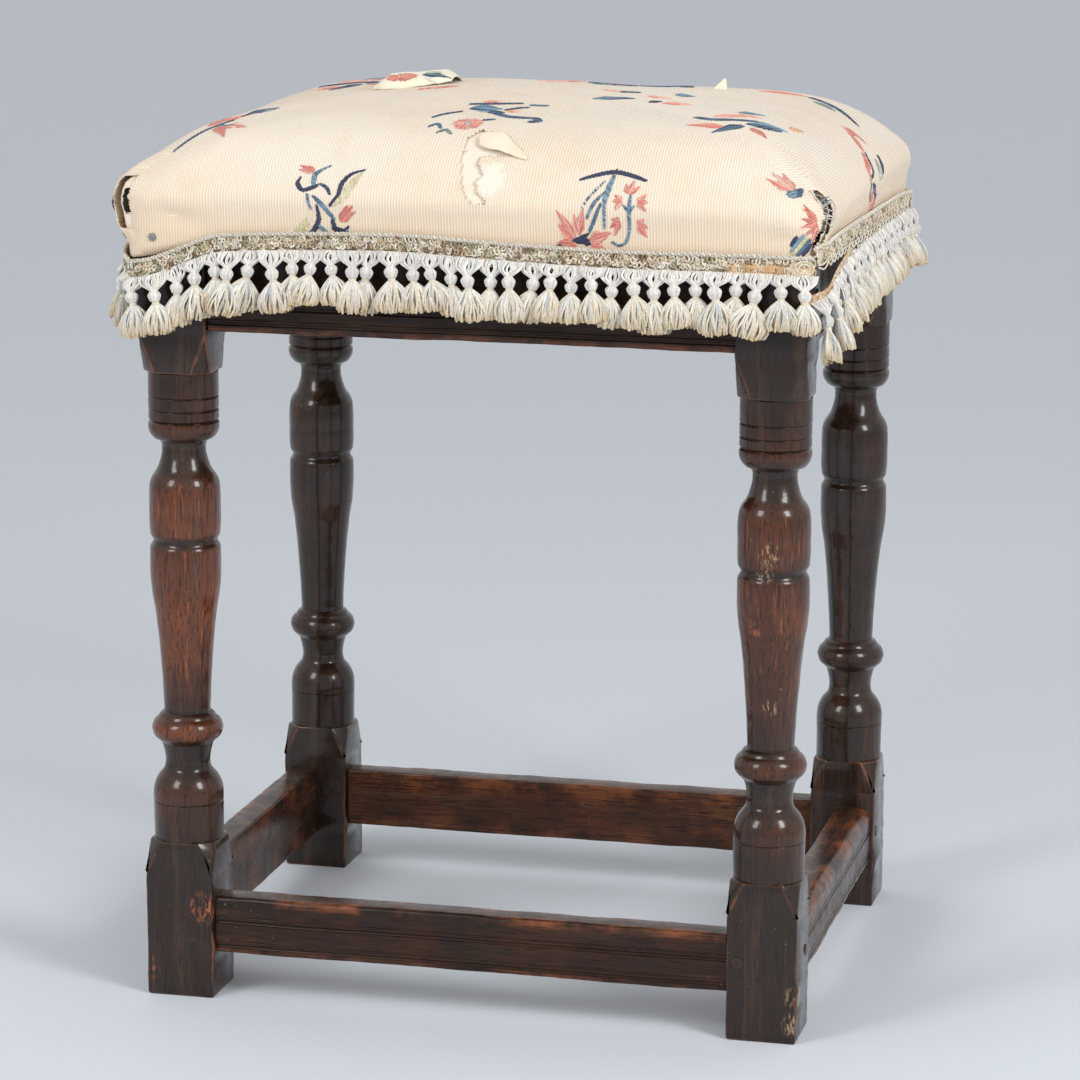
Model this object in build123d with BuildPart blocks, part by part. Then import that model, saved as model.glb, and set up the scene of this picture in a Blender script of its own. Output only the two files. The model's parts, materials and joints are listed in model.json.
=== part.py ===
from build123d import *
import os

# Joint stool: a turned and joined oak stool, stuffed over with a fitted cover, braid and a tassel fringe.
#
# Four legs are turned from square stock and left square where rails and stretchers join them. Each rail
# and stretcher has a tenon at both ends, which sits in a mortise in the leg and is held by oak pegs. The
# oak seat board is pegged down on the frame and carries the stuffing, the under-cover and the cover.
#
# Frame: millimetres, +Z up, front towards -Y, right towards +X. The origin is on the floor, midway
# between the feet.

os.makedirs("parts", exist_ok=True)

# ---- Leg frame -------------------------------------------------------------------------------------
leg_pitch_wide = 420.0  # leg centre to leg centre, side to side
leg_pitch_deep = 339.0  # leg centre to leg centre, front to back
leg_stock = 50.0  # square stock that each leg is turned from
leg_height = 541.0
foot_block_top = 113.0  # the square foot ends here and the turning starts
head_block_bottom = 449.0  # the turning ends here and the square head starts
facet_width = 16.0  # stopped corner facets, where they meet the turning
foot_facet_height = 23.0
head_facet_height = 30.0
foot_arris = 1.5  # worn edge round the sole of the foot

# ---- Turning, from the foot block up ----------------------------------------------------------------
turning_skim = 0.2  # the fullest turning is this much under the flats of the stock
lower_bulb_height = 35.0
lower_shoulder_height = 13.0
shoulder_break_radius = 23.5  # where a shoulder turns in to its neck
shoulder_break_share = 0.45  # how far up the shoulder that is
shoulder_lip_radius = 18.0
lower_neck_height = 20.0
lower_neck_radius = 15.9
ring_height = 22.0
ring_bevel = 8.0  # height of the slope above and below the ring's edge
ring_fillet_height = 3.0
column_foot_radius = 16.6
column_swell_radius = 20.2  # where the column has started to swell
column_swell_share = 0.6  # how far up the column that is
column_head_height = 18.0
groove_height = 12.0
groove_depth = 2.4
upper_bulb_height = 30.0
upper_shoulder_height = 16.0
upper_neck_height = 18.0
upper_neck_radius = 15.5
bead_foot_radius = 20.8
bead_step_height = 2.5
bead_height = 11.0
collar_height = 37.0  # plain collar under the head block

# ---- Joints -----------------------------------------------------------------------------------------
tenon_thickness = 9.5
tenon_cheek = 6.0  # outer face of a rail or stretcher to its tenon
tenon_length = 28.0
joint_gap = 0.2  # round a tenon in its mortise
mortise_end_gap = 0.8  # beyond the end of a tenon
peg_size = 8.6  # across the corners of a shaved peg
peg_sides = 8
peg_gap = 0.15  # round the peg in its hole, which has taken the peg's sides
peg_from_shoulder = 12.0
peg_beyond_tenon = 2.0

# ---- Rails under the seat ---------------------------------------------------------------------------
rail_depth = 61.0
rail_thickness = 22.0
rail_setback = 4.0  # behind the outer faces of the legs
rail_haunch = 13.0  # the tenon stops this far below the top of the rail
rail_tenon_foot = 4.0  # the tenon starts this far above the bottom of the rail
rail_peg_low = 13.0  # height of the lower peg above the bottom of the rail
rail_peg_spacing = 24.0
rail_groove_radius = 1.4
rail_groove_low = 6.0
rail_groove_high = 17.0
rail_arris = 2.5

# ---- Stretchers near the floor ----------------------------------------------------------------------
front_stretcher_bottom = 33.0
front_stretcher_depth = 41.0
front_stretcher_thickness = 21.0
front_stretcher_setback = 5.5
back_stretcher_bottom = 35.0
back_stretcher_depth = 44.0
back_stretcher_thickness = 22.0
back_stretcher_setback = 22.0
left_stretcher_bottom = 27.0
left_stretcher_depth = 53.0
left_stretcher_thickness = 21.7
left_stretcher_setback = 3.5
right_stretcher_bottom = 36.5
right_stretcher_depth = 41.5
right_stretcher_thickness = 26.5
right_stretcher_setback = 3.0
stretcher_tenon_edge = 1.5  # step above and below a stretcher's tenon
stretcher_groove_radius = 1.5
stretcher_groove_share = 0.4  # height of the groove, as a share of the stretcher's depth
stretcher_quirk_rise = 5.0
stretcher_arris = 3.0
front_left_peg_from_shoulder = 16.0  # three stretcher pegs were bored by eye, off the usual place
front_left_peg_rise = 8.0
front_right_peg_from_shoulder = 8.5
front_right_peg_rise = 23.0
back_left_peg_from_shoulder = 8.6
back_left_peg_rise = 25.3

# ---- Seat -------------------------------------------------------------------------------------------
board_overhang = 5.0
board_thickness = 22.0
board_edge_chamfer = 5.0
board_peg_depth = 22.0  # how far a board peg goes into its rail
board_peg_pitch_wide = 270.0
board_peg_pitch_deep = 190.0
seat_corner_radius = 20.0  # of the cover at the board's edge, seen from above
corner_ease = 0.35  # how much rounder the corners get for each millimetre that the seat draws in
corner_flats = 5  # flats that make up the round of each seat corner
crown_height = 73.0  # top of the stuffed seat above the board
crown_inset = 130.0
swell = 4.5  # how far the stuffed seat swells past its own foot
swell_height = 12.0
cheek_inset = 8.0  # the insets from here up are measured from the swell
cheek_height = 28.0
shoulder_inset = 24.0
shoulder_height = 42.0
brow_inset = 65.0
brow_height = 60.0
cloth_gap = 0.3
cover_thickness = 1.2
undercover_thickness = 0.8
hem_rise = 1.0  # both cloths end this far above the bottom of the board

# ---- Tacks, braid and fringe ------------------------------------------------------------------------
tack_head_size = 6.0
tack_head_sides = 6
tack_head_height = 1.3
tack_shank = 1.6
tack_length = 13.0
tack_rise = 5.0  # above the bottom of the board
tack_end_margin = 20.0
tack_pitch = 74.0
tack_hole_gap = 0.15
braid_height = 13.0
braid_thickness = 2.2
braid_dip_length = 75.0
braid_rise = 12.0  # top of the braid above the bottom of the board, along the middle of a side
front_left_dip = 24.0  # how far the braid droops at each corner
front_right_dip = 10.0
back_right_dip = 6.0
back_left_dip = 12.0
fringe_net_height = 13.0
fringe_net_thickness = 2.0
tassel_pitch = 14.0
tassel_depth = 7.0
tassel_sink = 1.0  # how far a tassel's head is bound into the netting
tassel_head_width = 8.0
tassel_head_height = 8.0
tassel_neck_width = 4.5
tassel_skirt_width = 12.5
tassel_skirt_height = 19.0
tassel_end_margin = 7.0

# ---- Worked out from the sizes above ----------------------------------------------------------------
half_wide = (leg_pitch_wide + leg_stock) / 2
half_deep = (leg_pitch_deep + leg_stock) / 2
span_wide = leg_pitch_wide - leg_stock  # shoulder to shoulder
span_deep = leg_pitch_deep - leg_stock
turned_radius = leg_stock / 2 - turning_skim
rail_bottom = leg_height - rail_depth
board_top = leg_height + board_thickness
board_half_wide = half_wide + board_overhang
board_half_deep = half_deep + board_overhang
cloth_foot = leg_height + hem_rise
undercover_outside = cloth_gap + undercover_thickness  # outside of each cloth, from the board's edge
cover_outside = undercover_outside + cloth_gap + cover_thickness
board_corner_radius = seat_corner_radius - cover_outside
seat_foot_wide = board_half_wide + cover_outside
seat_foot_deep = board_half_deep + cover_outside
trim_inside = cover_outside + tack_head_height + cloth_gap  # the trim lies on the tack heads

# How each side of the stool lies: outward across its face, along its length, the distance from the
# middle of the stool to the outer faces of its legs, and its length between leg shoulders.
sides = {
    "front": (Vector(0, -1, 0), Vector(1, 0, 0), half_deep, span_wide),
    "right": (Vector(1, 0, 0), Vector(0, 1, 0), half_wide, span_deep),
    "back": (Vector(0, 1, 0), Vector(-1, 0, 0), half_deep, span_wide),
    "left": (Vector(-1, 0, 0), Vector(0, -1, 0), half_wide, span_deep),
}
corners = {
    "front_left": (-1, -1),
    "front_right": (1, -1),
    "back_left": (-1, 1),
    "back_right": (1, 1),
}
stretchers = {
    "front": (
        front_stretcher_bottom,
        front_stretcher_depth,
        front_stretcher_thickness,
        front_stretcher_setback,
    ),
    "back": (
        back_stretcher_bottom,
        back_stretcher_depth,
        back_stretcher_thickness,
        back_stretcher_setback,
    ),
    "left": (
        left_stretcher_bottom,
        left_stretcher_depth,
        left_stretcher_thickness,
        left_stretcher_setback,
    ),
    "right": (
        right_stretcher_bottom,
        right_stretcher_depth,
        right_stretcher_thickness,
        right_stretcher_setback,
    ),
}

# Stretcher pegs off the usual place: the side, its start (-1) or end (1), distance from the shoulder and
# rise above the stretcher's bottom.
bored_by_eye = {
    ("front", -1): (front_left_peg_from_shoulder, front_left_peg_rise),
    ("front", 1): (front_right_peg_from_shoulder, front_right_peg_rise),
    ("back", 1): (back_left_peg_from_shoulder, back_left_peg_rise),
}

# Droop of the trim at the start and end of each side.
dips = {
    "front": (front_left_dip, front_right_dip),
    "right": (front_right_dip, back_right_dip),
    "back": (back_right_dip, back_left_dip),
    "left": (back_left_dip, front_left_dip),
}


def face_plane(side, distance, height=0.0, shift=0.0):
    """A plane that faces outward on one side: x along the side, y up, at a distance from the middle."""
    outward, along, _, _ = sides[side]
    origin = outward * distance + along * shift + Vector(0, 0, height)
    return Plane(origin=origin, x_dir=along, z_dir=outward)


def end_plane(side, distance, height, shift):
    """A plane across a side, for its section: x runs inward from the outer face, y up, normal along."""
    outward, along, _, _ = sides[side]
    origin = outward * distance + along * shift + Vector(0, 0, height)
    return Plane(origin=origin, x_dir=outward * -1, z_dir=along)


def tenon_span(side, kind):
    """Outer face distance, tenon bottom and tenon height of a rail or stretcher."""
    reach = sides[side][2]
    if kind == "rail":
        tenon_height = rail_depth - rail_haunch - rail_tenon_foot
        return reach - rail_setback, rail_bottom + rail_tenon_foot, tenon_height
    bottom, depth, _, setback = stretchers[side]
    return reach - setback, bottom + stretcher_tenon_edge, depth - 2 * stretcher_tenon_edge


def peg_places(side, end, kind):
    """The pegs of one joint: distance along the side, and height."""
    shoulder = sides[side][3] / 2
    if kind == "rail":
        low = rail_bottom + rail_peg_low
        place = end * (shoulder + peg_from_shoulder)
        return [(place, low), (place, low + rail_peg_spacing)]
    bottom, depth, _, _ = stretchers[side]
    from_shoulder, rise = bored_by_eye.get((side, end), (peg_from_shoulder, depth / 2))
    return [(end * (shoulder + from_shoulder), bottom + rise)]


def peg_length(side, kind):
    """A peg ends beyond the tenon, except that the pegs of the back stretcher go right through the leg."""
    if side == "back" and kind == "stretcher":
        return leg_stock
    face, _, _ = tenon_span(side, kind)
    return sides[side][2] - face + tenon_cheek + tenon_thickness + peg_beyond_tenon


def joints_of(corner):
    """The sides that meet at a corner, each with the way along it that points into the leg."""
    sign_x, sign_y = corners[corner]
    wide_side = "front" if sign_y < 0 else "back"
    deep_side = "left" if sign_x < 0 else "right"
    found = []
    for side in (wide_side, deep_side):
        along = sides[side][1]
        found.append((side, 1 if along.X * sign_x + along.Y * sign_y > 0 else -1))
    return found


def board_peg_places(side):
    """Places of the pegs that hold the board down on one rail, seen from above."""
    outward, along, reach, _ = sides[side]
    line = outward * (reach - rail_setback - rail_thickness / 2)
    pitch = board_peg_pitch_wide if side in ("front", "back") else board_peg_pitch_deep
    return [tuple(line + along * (end * pitch / 2))[:2] for end in (-1, 1)]


# ---- Legs -------------------------------------------------------------------------------------------
# Each leg is one piece of oak. Its head and foot stay square, with the corners cut back to stopped
# facets where they meet the turning, and the mortises and peg holes are cut in those square blocks.
def turned_outline():
    """Half outline of the turning, radius across and height up, inside an open BuildLine."""
    shoulder_foot = foot_block_top + lower_bulb_height
    lower_lip = shoulder_foot + lower_shoulder_height
    ring_foot = lower_lip + lower_neck_height
    ring_top = ring_foot + ring_height
    column_foot = ring_top + ring_fillet_height
    bead_top = head_block_bottom - collar_height
    bead_foot = bead_top - bead_height
    neck_top = bead_foot - bead_step_height
    upper_lip = neck_top - upper_neck_height
    bulb_top = upper_lip - upper_shoulder_height
    bulb_foot = bulb_top - upper_bulb_height
    head_foot = bulb_foot - groove_height
    column_top = head_foot - column_head_height
    Polyline(
        (0, foot_block_top),
        (turned_radius, foot_block_top),
        (turned_radius, shoulder_foot),
        (shoulder_break_radius, shoulder_foot + shoulder_break_share * lower_shoulder_height),
        (shoulder_lip_radius, lower_lip),
        (lower_neck_radius, (lower_lip + ring_foot) / 2),
        (shoulder_lip_radius, ring_foot),
        (turned_radius, ring_foot + ring_bevel),
        (turned_radius, ring_top - ring_bevel),
        (shoulder_lip_radius, ring_top),
        (column_foot_radius, column_foot),
        (column_swell_radius, column_foot + column_swell_share * (column_top - column_foot)),
        (turned_radius, column_top),
        (turned_radius, head_foot),
        (turned_radius - groove_depth, (head_foot + bulb_foot) / 2),
        (turned_radius, bulb_foot),
        (turned_radius, bulb_top),
        (shoulder_break_radius, bulb_top + shoulder_break_share * upper_shoulder_height),
        (shoulder_lip_radius, upper_lip),
        (upper_neck_radius, (upper_lip + neck_top) / 2),
        (shoulder_lip_radius, neck_top),
        (bead_foot_radius, bead_foot),
        (turned_radius, bead_top),
        (turned_radius, head_block_bottom),
        (0, head_block_bottom),
        close=True,
    )


def facet_plane(centre, angle):
    """Upright plane through a leg's centre and one of its corners: x outward, y up."""
    outward = Vector(1, 0, 0).rotate(Axis.Z, angle)
    across = Vector(0, -1, 0).rotate(Axis.Z, angle)
    return Plane(origin=centre, x_dir=outward, z_dir=across)


def cut_facets(centre, shoulder, tip):
    """Cut the four stopped facets of a block, full width at the shoulder and nothing at the tip."""
    corner_reach = leg_stock / 2 * 2**0.5
    for quarter in range(4):
        with BuildSketch(facet_plane(centre, 45 + 90 * quarter)) as facet:
            with BuildLine():
                Polyline(
                    (corner_reach - facet_width / 2, shoulder),
                    (corner_reach, tip),
                    (corner_reach + facet_width, tip),
                    (corner_reach + facet_width, shoulder),
                    close=True,
                )
            make_face()
        extrude(facet.sketch, amount=leg_stock / 2, both=True, mode=Mode.SUBTRACT)


def cut_joint(side, into_leg, kind):
    """Cut one mortise in a leg, with its peg holes."""
    face, bottom, height = tenon_span(side, kind)
    shoulder = into_leg * sides[side][3] / 2
    depth = tenon_length + mortise_end_gap
    cheek_face = face - tenon_cheek + joint_gap
    middle = shoulder + into_leg * depth / 2
    with BuildSketch(face_plane(side, cheek_face, bottom + height / 2, middle)) as mouth:
        Rectangle(depth, height + 2 * joint_gap)
    extrude(mouth.sketch, amount=-(tenon_thickness + 2 * joint_gap), mode=Mode.SUBTRACT)
    outer_face = sides[side][2]
    for place, peg_height in peg_places(side, into_leg, kind):
        with BuildSketch(face_plane(side, outer_face, peg_height, place)) as bore:
            RegularPolygon(peg_size / 2 + peg_gap, peg_sides)
        extrude(bore.sketch, amount=-peg_length(side, kind), mode=Mode.SUBTRACT)


for corner, (sign_x, sign_y) in corners.items():
    leg_centre = (sign_x * leg_pitch_wide / 2, sign_y * leg_pitch_deep / 2, 0)
    with BuildPart() as leg:
        with BuildSketch(Plane(leg_centre)):
            Rectangle(leg_stock, leg_stock)
        extrude(amount=foot_block_top)
        chamfer(leg.faces().sort_by(Axis.Z)[0].edges(), length=foot_arris)
        cut_facets(leg_centre, foot_block_top, foot_block_top - foot_facet_height)
        with BuildSketch(Plane(leg_centre).offset(head_block_bottom)):
            Rectangle(leg_stock, leg_stock)
        extrude(amount=leg_height - head_block_bottom)
        cut_facets(leg_centre, head_block_bottom, head_block_bottom + head_facet_height)
        with BuildSketch(facet_plane(leg_centre, 0)):
            with BuildLine():
                turned_outline()
            make_face()
        revolve(axis=Axis(leg_centre, (0, 0, 1)))
        for side, into_leg in joints_of(corner):
            cut_joint(side, into_leg, "rail")
            cut_joint(side, into_leg, "stretcher")
    leg.part.label = corner + "_leg"
    export_step(leg.part, "parts/" + corner + "_leg.step")


# ---- Rails and stretchers ---------------------------------------------------------------------------
# Each is a straight oak board with grooves scratched along its outer face, a rounded arris, and a tenon
# bored for its pegs at both ends.
def add_tenons(side, kind):
    """Add both tenons to a rail or stretcher and bore their peg holes."""
    face, bottom, height = tenon_span(side, kind)
    bore_depth = tenon_cheek + tenon_thickness + peg_beyond_tenon
    for end in (-1, 1):
        middle = end * (sides[side][3] + tenon_length) / 2
        with BuildSketch(face_plane(side, face - tenon_cheek, bottom + height / 2, middle)) as tenon:
            Rectangle(tenon_length, height)
        extrude(tenon.sketch, amount=-tenon_thickness)
        for place, peg_height in peg_places(side, end, kind):
            with BuildSketch(face_plane(side, face, peg_height, place)) as bore:
                RegularPolygon(peg_size / 2 + peg_gap, peg_sides)
            extrude(bore.sketch, amount=-bore_depth, mode=Mode.SUBTRACT)


def board_section(thickness, depth, arris_radius, arris_corner, groove_radius, groove_heights):
    """Section of a board: x inward from its outer face, y up, with one worn arris and its run grooves."""
    Rectangle(thickness, depth, align=(Align.MIN, Align.MIN))
    rounded = vertices().sort_by_distance((0, arris_corner, 0))[0]
    fillet(rounded, radius=arris_radius)
    for groove_height in groove_heights:
        with Locations((0, groove_height)):
            Circle(groove_radius, mode=Mode.SUBTRACT)


for side in sides:
    face = sides[side][2] - rail_setback
    length = sides[side][3]
    groove_heights = [rail_groove_low, rail_groove_high]
    with BuildPart() as rail:
        with BuildSketch(end_plane(side, face, rail_bottom, -length / 2)):
            board_section(rail_thickness, rail_depth, rail_arris, 0, rail_groove_radius, groove_heights)
        extrude(amount=length)
        add_tenons(side, "rail")
        # blind holes in the top edge take the pegs that hold the seat board down
        with BuildSketch(Plane.XY.offset(leg_height)):
            with Locations(*board_peg_places(side)):
                RegularPolygon(peg_size / 2 + peg_gap, peg_sides)
        extrude(amount=-board_peg_depth, mode=Mode.SUBTRACT)
    rail.part.label = side + "_rail"
    export_step(rail.part, "parts/" + side + "_rail.step")

for side, (bottom, depth, thickness, setback) in stretchers.items():
    length = sides[side][3]
    # the back stretcher is plain; the others have a groove below the middle and a quirk near the foot
    groove_heights = [] if side == "back" else [depth * stretcher_groove_share, stretcher_quirk_rise]
    with BuildPart() as stretcher:
        with BuildSketch(end_plane(side, sides[side][2] - setback, bottom, -length / 2)):
            board_section(thickness, depth, stretcher_arris, depth, stretcher_groove_radius, groove_heights)
        extrude(amount=length)
        add_tenons(side, "stretcher")
    stretcher.part.label = side + "_stretcher"
    export_step(stretcher.part, "parts/" + side + "_stretcher.step")


# ---- Pegs -------------------------------------------------------------------------------------------
# Riven oak, shaved to eight sides and driven from the outer face of the leg through the tenon.
for kind in ("rail", "stretcher"):
    with BuildPart() as pegs:
        for side in sides:
            for end in (-1, 1):
                for place, peg_height in peg_places(side, end, kind):
                    with BuildSketch(face_plane(side, sides[side][2], peg_height, place)):
                        RegularPolygon(peg_size / 2, peg_sides)
                    extrude(amount=-peg_length(side, kind))
    pegs.part.label = kind + "_pegs"
    export_step(pegs.part, "parts/" + kind + "_pegs.step")

with BuildPart() as board_pegs:
    with BuildSketch(Plane.XY.offset(board_top)):
        for side in sides:
            with Locations(*board_peg_places(side)):
                RegularPolygon(peg_size / 2, peg_sides)
    extrude(amount=-(board_thickness + board_peg_depth))
board_pegs.part.label = "board_pegs"
export_step(board_pegs.part, "parts/board_pegs.step")


# ---- Seat board -------------------------------------------------------------------------------------
# The stool's own oak top, with a chamfered upper edge. Pegs hold it down on the rails, and the cover tacks
# go into its edge.
def seat_outline(across, along, corner_radius):
    """Outline of the seat at one level, its corners rounded in flats, inside an open BuildLine."""
    points = []
    for quarter, (sign_x, sign_y) in enumerate(((1, 1), (-1, 1), (-1, -1), (1, -1))):
        centre = Vector(sign_x * (across - corner_radius), sign_y * (along - corner_radius))
        for step in range(corner_flats + 1):
            turn = 90 * (quarter + step / corner_flats)
            points.append(centre + Vector(corner_radius, 0).rotate(Axis.Z, turn))
    Polyline(*points, close=True)


def tack_places(side):
    """Tacks of one side, as distances along it."""
    half_length = board_half_wide if side in ("front", "back") else board_half_deep
    run = 2 * (half_length - tack_end_margin)
    spaces = max(1, round(run / tack_pitch))
    return [run * (step / spaces - 0.5) for step in range(spaces + 1)]


def board_face(side):
    """Distance from the middle of the stool to one edge face of the seat board."""
    return board_half_deep if side in ("front", "back") else board_half_wide


def cut_tack_holes():
    """Cut the square holes of the tack shanks through whatever lies on the board's edge."""
    for side in sides:
        for place in tack_places(side):
            plane = face_plane(side, board_face(side) + cover_outside, leg_height + tack_rise, place)
            with BuildSketch(plane) as hole:
                Rectangle(tack_shank + 2 * tack_hole_gap, tack_shank + 2 * tack_hole_gap)
            extrude(hole.sketch, amount=-tack_length, mode=Mode.SUBTRACT)


with BuildPart() as seat_board:
    with BuildSketch(Plane.XY.offset(leg_height)):
        with BuildLine():
            seat_outline(board_half_wide, board_half_deep, board_corner_radius)
        make_face()
    extrude(amount=board_thickness)
    chamfer(seat_board.faces().sort_by(Axis.Z)[-1].edges(), length=board_edge_chamfer)
    with BuildSketch(Plane.XY.offset(board_top)):
        for side in sides:
            with Locations(*board_peg_places(side)):
                RegularPolygon(peg_size / 2 + peg_gap, peg_sides)
    extrude(amount=-board_thickness, mode=Mode.SUBTRACT)
    cut_tack_holes()
seat_board.part.label = "seat_board"
export_step(seat_board.part, "parts/seat_board.step")


# ---- Stuffing, under-cover and cover ----------------------------------------------------------------
# All three share one pillow shape: straight down over the board's edge, swelling above it, and rounding
# over to a low crown. The curled hair lies on the board, and the two cloths go over it and the edge.
def seat_form(inset):
    """The pillow shape down to the hem of the cloths, drawn in by inset, as a part of its own."""
    levels = [
        (0, 0),
        (-swell, swell_height),
        (cheek_inset - swell, cheek_height - inset),
        (shoulder_inset - swell, shoulder_height - inset),
        (brow_inset - swell, brow_height - inset),
        (crown_inset - swell, crown_height - inset),
    ]
    with BuildPart() as form:
        with BuildSketch(Plane.XY.offset(cloth_foot)):
            with BuildLine():
                seat_outline(seat_foot_wide - inset, seat_foot_deep - inset, seat_corner_radius - inset)
            make_face()
        extrude(amount=board_top - cloth_foot)
        for draw_in, height in levels:
            across = seat_foot_wide - inset - draw_in
            along = seat_foot_deep - inset - draw_in
            with BuildSketch(Plane.XY.offset(board_top + height)):
                with BuildLine():
                    seat_outline(across, along, seat_corner_radius - inset + draw_in * corner_ease)
                make_face()
        loft(ruled=True)
    return form.part


with BuildPart() as seat_stuffing:
    add(seat_form(cover_outside))
    split(bisect_by=Plane.XY.offset(board_top), keep=Keep.TOP)
seat_stuffing.part.label = "seat_stuffing"
export_step(seat_stuffing.part, "parts/seat_stuffing.step")

cloths = {
    "white_undercover": (cover_outside - undercover_outside, undercover_thickness),
    "embroidered_cover": (0, cover_thickness),
}
for name, (inset, thickness) in cloths.items():
    with BuildPart() as cloth:
        add(seat_form(inset))
        add(seat_form(inset + thickness), mode=Mode.SUBTRACT)
        cut_tack_holes()
    cloth.part.label = name
    export_step(cloth.part, "parts/" + name + ".step")


# ---- Cover tacks ------------------------------------------------------------------------------------
# Forged iron tacks with shaved heads, driven through both cloths into the edge of the board.
with BuildPart() as cover_tacks:
    for side in sides:
        for place in tack_places(side):
            plane = face_plane(side, board_face(side) + cover_outside, leg_height + tack_rise, place)
            with BuildSketch(plane):
                RegularPolygon(tack_head_size / 2, tack_head_sides)
            extrude(amount=tack_head_height)
            with BuildSketch(plane):
                Rectangle(tack_shank, tack_shank)
            extrude(amount=-tack_length)
cover_tacks.part.label = "cover_tacks"
export_step(cover_tacks.part, "parts/cover_tacks.step")


# ---- Braid and fringe -------------------------------------------------------------------------------
# A woven braid covers the tack heads. It droops towards the corners, and the fringe follows it: a net of
# looped cord with a tassel bound into every loop.
def trim_half_length(side):
    """Half the length of one side's trim: front and back run past the ends of the other two."""
    if side in ("front", "back"):
        return seat_foot_wide + trim_inside - cover_outside + braid_thickness
    return seat_foot_deep + trim_inside - cover_outside - cloth_gap


def dip_radius(dip):
    """Radius of the arc in which the trim droops by dip over the dip length."""
    return (braid_dip_length**2 + dip**2) / (2 * dip)


def droop(side, place):
    """How far the trim of one side hangs below its middle height at a place along it."""
    start_dip, end_dip = dips[side]
    dip = start_dip if place < 0 else end_dip
    into_dip = abs(place) - (trim_half_length(side) - braid_dip_length)
    if into_dip <= 0:
        return 0.0
    return dip_radius(dip) - (dip_radius(dip) ** 2 - into_dip**2) ** 0.5


def trim_outline(side, top, height):
    """Outline of a strip of trim, level along the middle and drooping in arcs, in an open BuildLine."""
    end = trim_half_length(side)
    level = end - braid_dip_length
    start_dip, end_dip = dips[side]
    bottom = top - height
    Line((-level, top), (level, top))
    TangentArc((level, top), (end, top - end_dip), tangent=(1, 0))
    Line((end, top - end_dip), (end, bottom - end_dip))
    TangentArc((level, bottom), (end, bottom - end_dip), tangent=(1, 0))
    Line((level, bottom), (-level, bottom))
    TangentArc((-level, bottom), (-end, bottom - start_dip), tangent=(-1, 0))
    Line((-end, bottom - start_dip), (-end, top - start_dip))
    TangentArc((-level, top), (-end, top - start_dip), tangent=(-1, 0))


def tassel_places(side):
    """Middle of each tassel along one side."""
    run = 2 * (trim_half_length(side) - tassel_end_margin)
    spaces = max(1, round(run / tassel_pitch))
    return [run * (step / spaces - 0.5) for step in range(spaces + 1)]


def tassel_outline(place, top):
    """Outline of one tassel: head, bound neck and spread skirt, inside an open BuildLine."""
    neck = top - tassel_head_height
    right_edge = [
        (tassel_head_width / 2, top),
        (tassel_neck_width / 2, neck),
        (tassel_skirt_width / 2, neck - tassel_skirt_height),
    ]
    left_edge = [(-across, height) for across, height in reversed(right_edge)]
    Polyline(*[(place + across, height) for across, height in right_edge + left_edge], close=True)


for side in sides:
    trim_plane = face_plane(side, board_face(side) + trim_inside)
    braid_top = leg_height + braid_rise
    net_top = braid_top - braid_height - cloth_gap
    net_foot = net_top - fringe_net_height
    with BuildPart() as braid:
        with BuildSketch(trim_plane):
            with BuildLine():
                trim_outline(side, braid_top, braid_height)
            make_face()
        extrude(amount=braid_thickness)
    braid.part.label = side + "_braid"
    export_step(braid.part, "parts/" + side + "_braid.step")

    with BuildPart() as fringe:
        with BuildSketch(trim_plane):
            with BuildLine():
                trim_outline(side, net_top, fringe_net_height)
            make_face()
        extrude(amount=fringe_net_thickness)
        with BuildSketch(trim_plane):
            for place in tassel_places(side):
                with BuildLine():
                    tassel_outline(place, net_foot + tassel_sink - droop(side, place))
                make_face()
        extrude(amount=tassel_depth)
    fringe.part.label = side + "_fringe"
    export_step(fringe.part, "parts/" + side + "_fringe.step")
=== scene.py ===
"""A turned and joined oak stool with a stuffed seat in a fitted embroidered cover, braid and tassel fringe.

The pieces are made in the order in which the stool is put together. Sizes are in millimetres and are
brought to metres where a mesh is made. +Z is up, the front faces -Y and the right side faces +X.
"""

import json
import math
import random

import bmesh
import bpy
from mathutils import Matrix, Vector, noise
from mathutils.bvhtree import BVHTree

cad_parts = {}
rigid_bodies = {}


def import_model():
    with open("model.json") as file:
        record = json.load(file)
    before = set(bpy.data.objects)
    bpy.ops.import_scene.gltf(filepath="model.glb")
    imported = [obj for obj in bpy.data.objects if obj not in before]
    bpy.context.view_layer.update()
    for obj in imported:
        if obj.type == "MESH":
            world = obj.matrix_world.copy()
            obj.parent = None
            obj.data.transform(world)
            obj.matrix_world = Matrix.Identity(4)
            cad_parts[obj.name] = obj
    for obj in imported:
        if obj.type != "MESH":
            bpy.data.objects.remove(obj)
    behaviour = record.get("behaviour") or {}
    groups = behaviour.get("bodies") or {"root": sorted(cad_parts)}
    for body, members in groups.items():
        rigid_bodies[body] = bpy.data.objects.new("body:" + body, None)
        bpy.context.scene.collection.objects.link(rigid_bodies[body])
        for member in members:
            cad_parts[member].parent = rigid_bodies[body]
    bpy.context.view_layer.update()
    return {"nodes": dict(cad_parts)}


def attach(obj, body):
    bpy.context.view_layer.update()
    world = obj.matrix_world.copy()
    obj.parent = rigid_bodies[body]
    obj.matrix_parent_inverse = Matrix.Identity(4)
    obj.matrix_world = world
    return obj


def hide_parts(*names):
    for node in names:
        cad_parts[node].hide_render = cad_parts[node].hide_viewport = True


for leftover in list(bpy.data.objects):
    bpy.data.objects.remove(leftover)
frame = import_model()
mm = 0.001
noise.seed_set(7)  # vector noise would otherwise differ from run to run


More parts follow.
